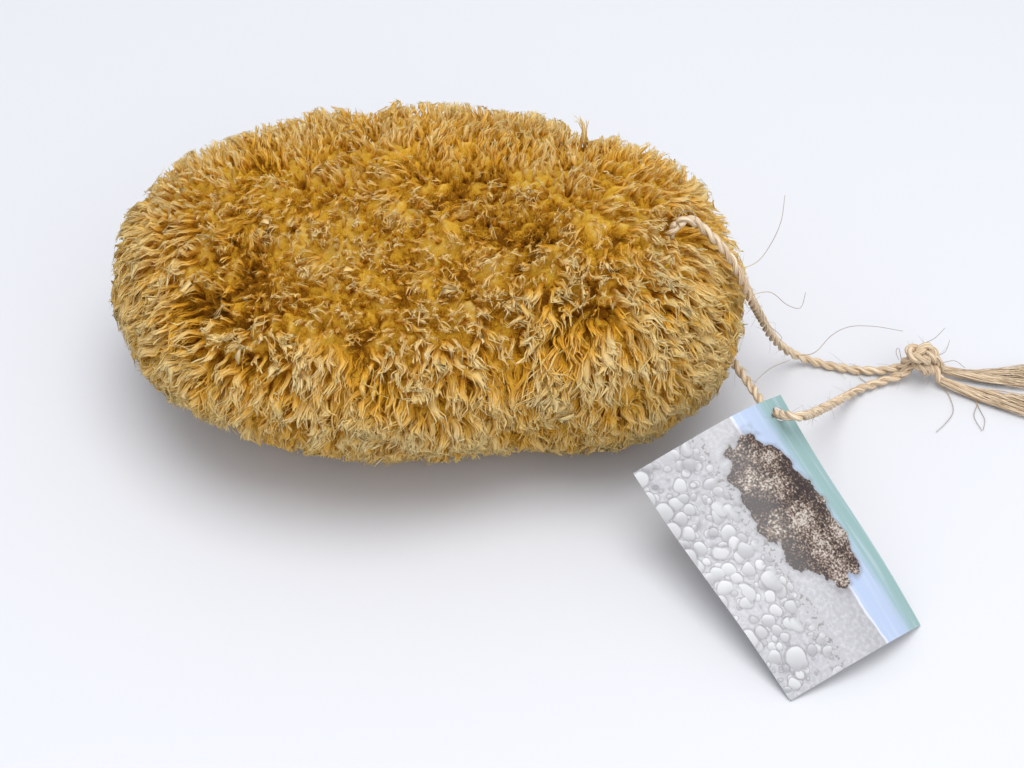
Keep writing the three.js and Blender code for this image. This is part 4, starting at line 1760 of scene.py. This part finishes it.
    def build(
        self, body: bpy.types.Object, outline: bpy.types.Object, finish: bpy.types.Material
    ) -> list[bpy.types.Object]:
        """Grows the tufts.

        Args:
            body: The body, with its fill, length, comb, out and flank attributes.
            outline: The outer shape that the tips keep to.
            finish: The sponge's material.

        Returns:
            One joined mesh of tufts for each stretch of the body.
        """
        kinds = self.collection()
        tree = self.tree()
        items = tree.interface.items_tree
        sockets = {item.name: item.identifier for item in items if item.in_out == "INPUT"}
        pieces = []
        for number, (low, high) in enumerate(self.limits(body)):
            grower = bpy.data.objects.new("grower", body.data)
            bpy.context.scene.collection.objects.link(grower)
            modifier = grower.modifiers.new("tufts", "NODES")
            modifier.node_group = tree
            values = {
                "Kinds": kinds, "Finish": finish, "Spacing": self.spacing, "Low X": low, "High X": high,
                "Stray": self.stray, "Ruffle": self.ruffle, "Floor": self.floor_gap, "Seed": self.seed,
                "Outline": outline, "Overshoot": self.overshoot, "Locks": self.locks,
                "Kinds In All": self.locks + self.fingers,
            }
            for name, value in values.items():
                modifier[sockets[name]] = value
            bpy.context.view_layer.update()
            graph = bpy.context.evaluated_depsgraph_get()
            mesh = bpy.data.meshes.new_from_object(grower.evaluated_get(graph))
            bpy.data.objects.remove(grower)
            mesh.name = f"tufts_{number + 1}"
            piece = bpy.data.objects.new(f"tufts_{number + 1}", mesh)
            bpy.context.scene.collection.objects.link(piece)
            mesh.polygons.foreach_set("use_smooth", [True] * len(mesh.polygons))
            pieces.append(dress(piece, finish, Slot.SPONGE))
        for tuft in list(kinds.objects):
            bpy.data.objects.remove(tuft)
        return pieces


@dataclass
class Sponge:
    """The whole sponge: its body and its tufts."""

    shape: SpongeShape = field(default_factory=SpongeShape)
    tufts: TuftField = field(default_factory=TuftField)
    stray_root: tuple[float, float, float] = (49.0, 25.0, 75.5)
    stray_lean: tuple[float, float, float] = (-0.2, 0.1, 1.0)

    def build(self) -> list[bpy.types.Object]:
        """Makes every piece of the sponge."""
        finish = SpongeFinish().build()
        body, outline = self.shape.build()
        pieces = self.tufts.build(body, outline, finish)
        bpy.data.objects.remove(outline)
        dress(body, finish, Slot.SPONGE, "sponge")
        return [body, *pieces, dress(self.stray_tuft(), finish, Slot.SPONGE)]

    def stray_tuft(self) -> bpy.types.Object:
        """Makes the one tuft that stands clear of the others, at the notch in the back edge."""
        tuft = TuftKind(seed=77, fibres=8, length=13.0, width=3.0).build("stray_tuft")
        lean = Vector(self.stray_lean).to_track_quat("Z", "Y").to_matrix().to_4x4()
        tuft.data.transform(Matrix.Translation(Vector(self.stray_root) * MM) @ lean)
        count = len(tuft.data.vertices)
        # The stray tuft stands near the outline, clear of every hollow, so it gets almost no painted shade.
        for name, value in (("rise", 0.95), ("shade", 0.7), ("hollow", 0.0)):
            store(tuft, name, np.full(count, value))
        return tuft


def main() -> None:
    """Builds the object, piece by piece."""
    Shot().build()
    pieces = Twine().build()
    Studio().build()
    pieces += Sponge().build()
    pieces.append(Tag().build())
    log.info("%d pieces", len(pieces))
    sizes = {"cad": [list(corner) for corner in CAD_BOX], "visual": [list(corner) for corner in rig.bounds()]}
    with open("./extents.json", "w", encoding="utf-8") as target:
        json.dump(sizes, target)


if __name__ == "__main__":
    main()
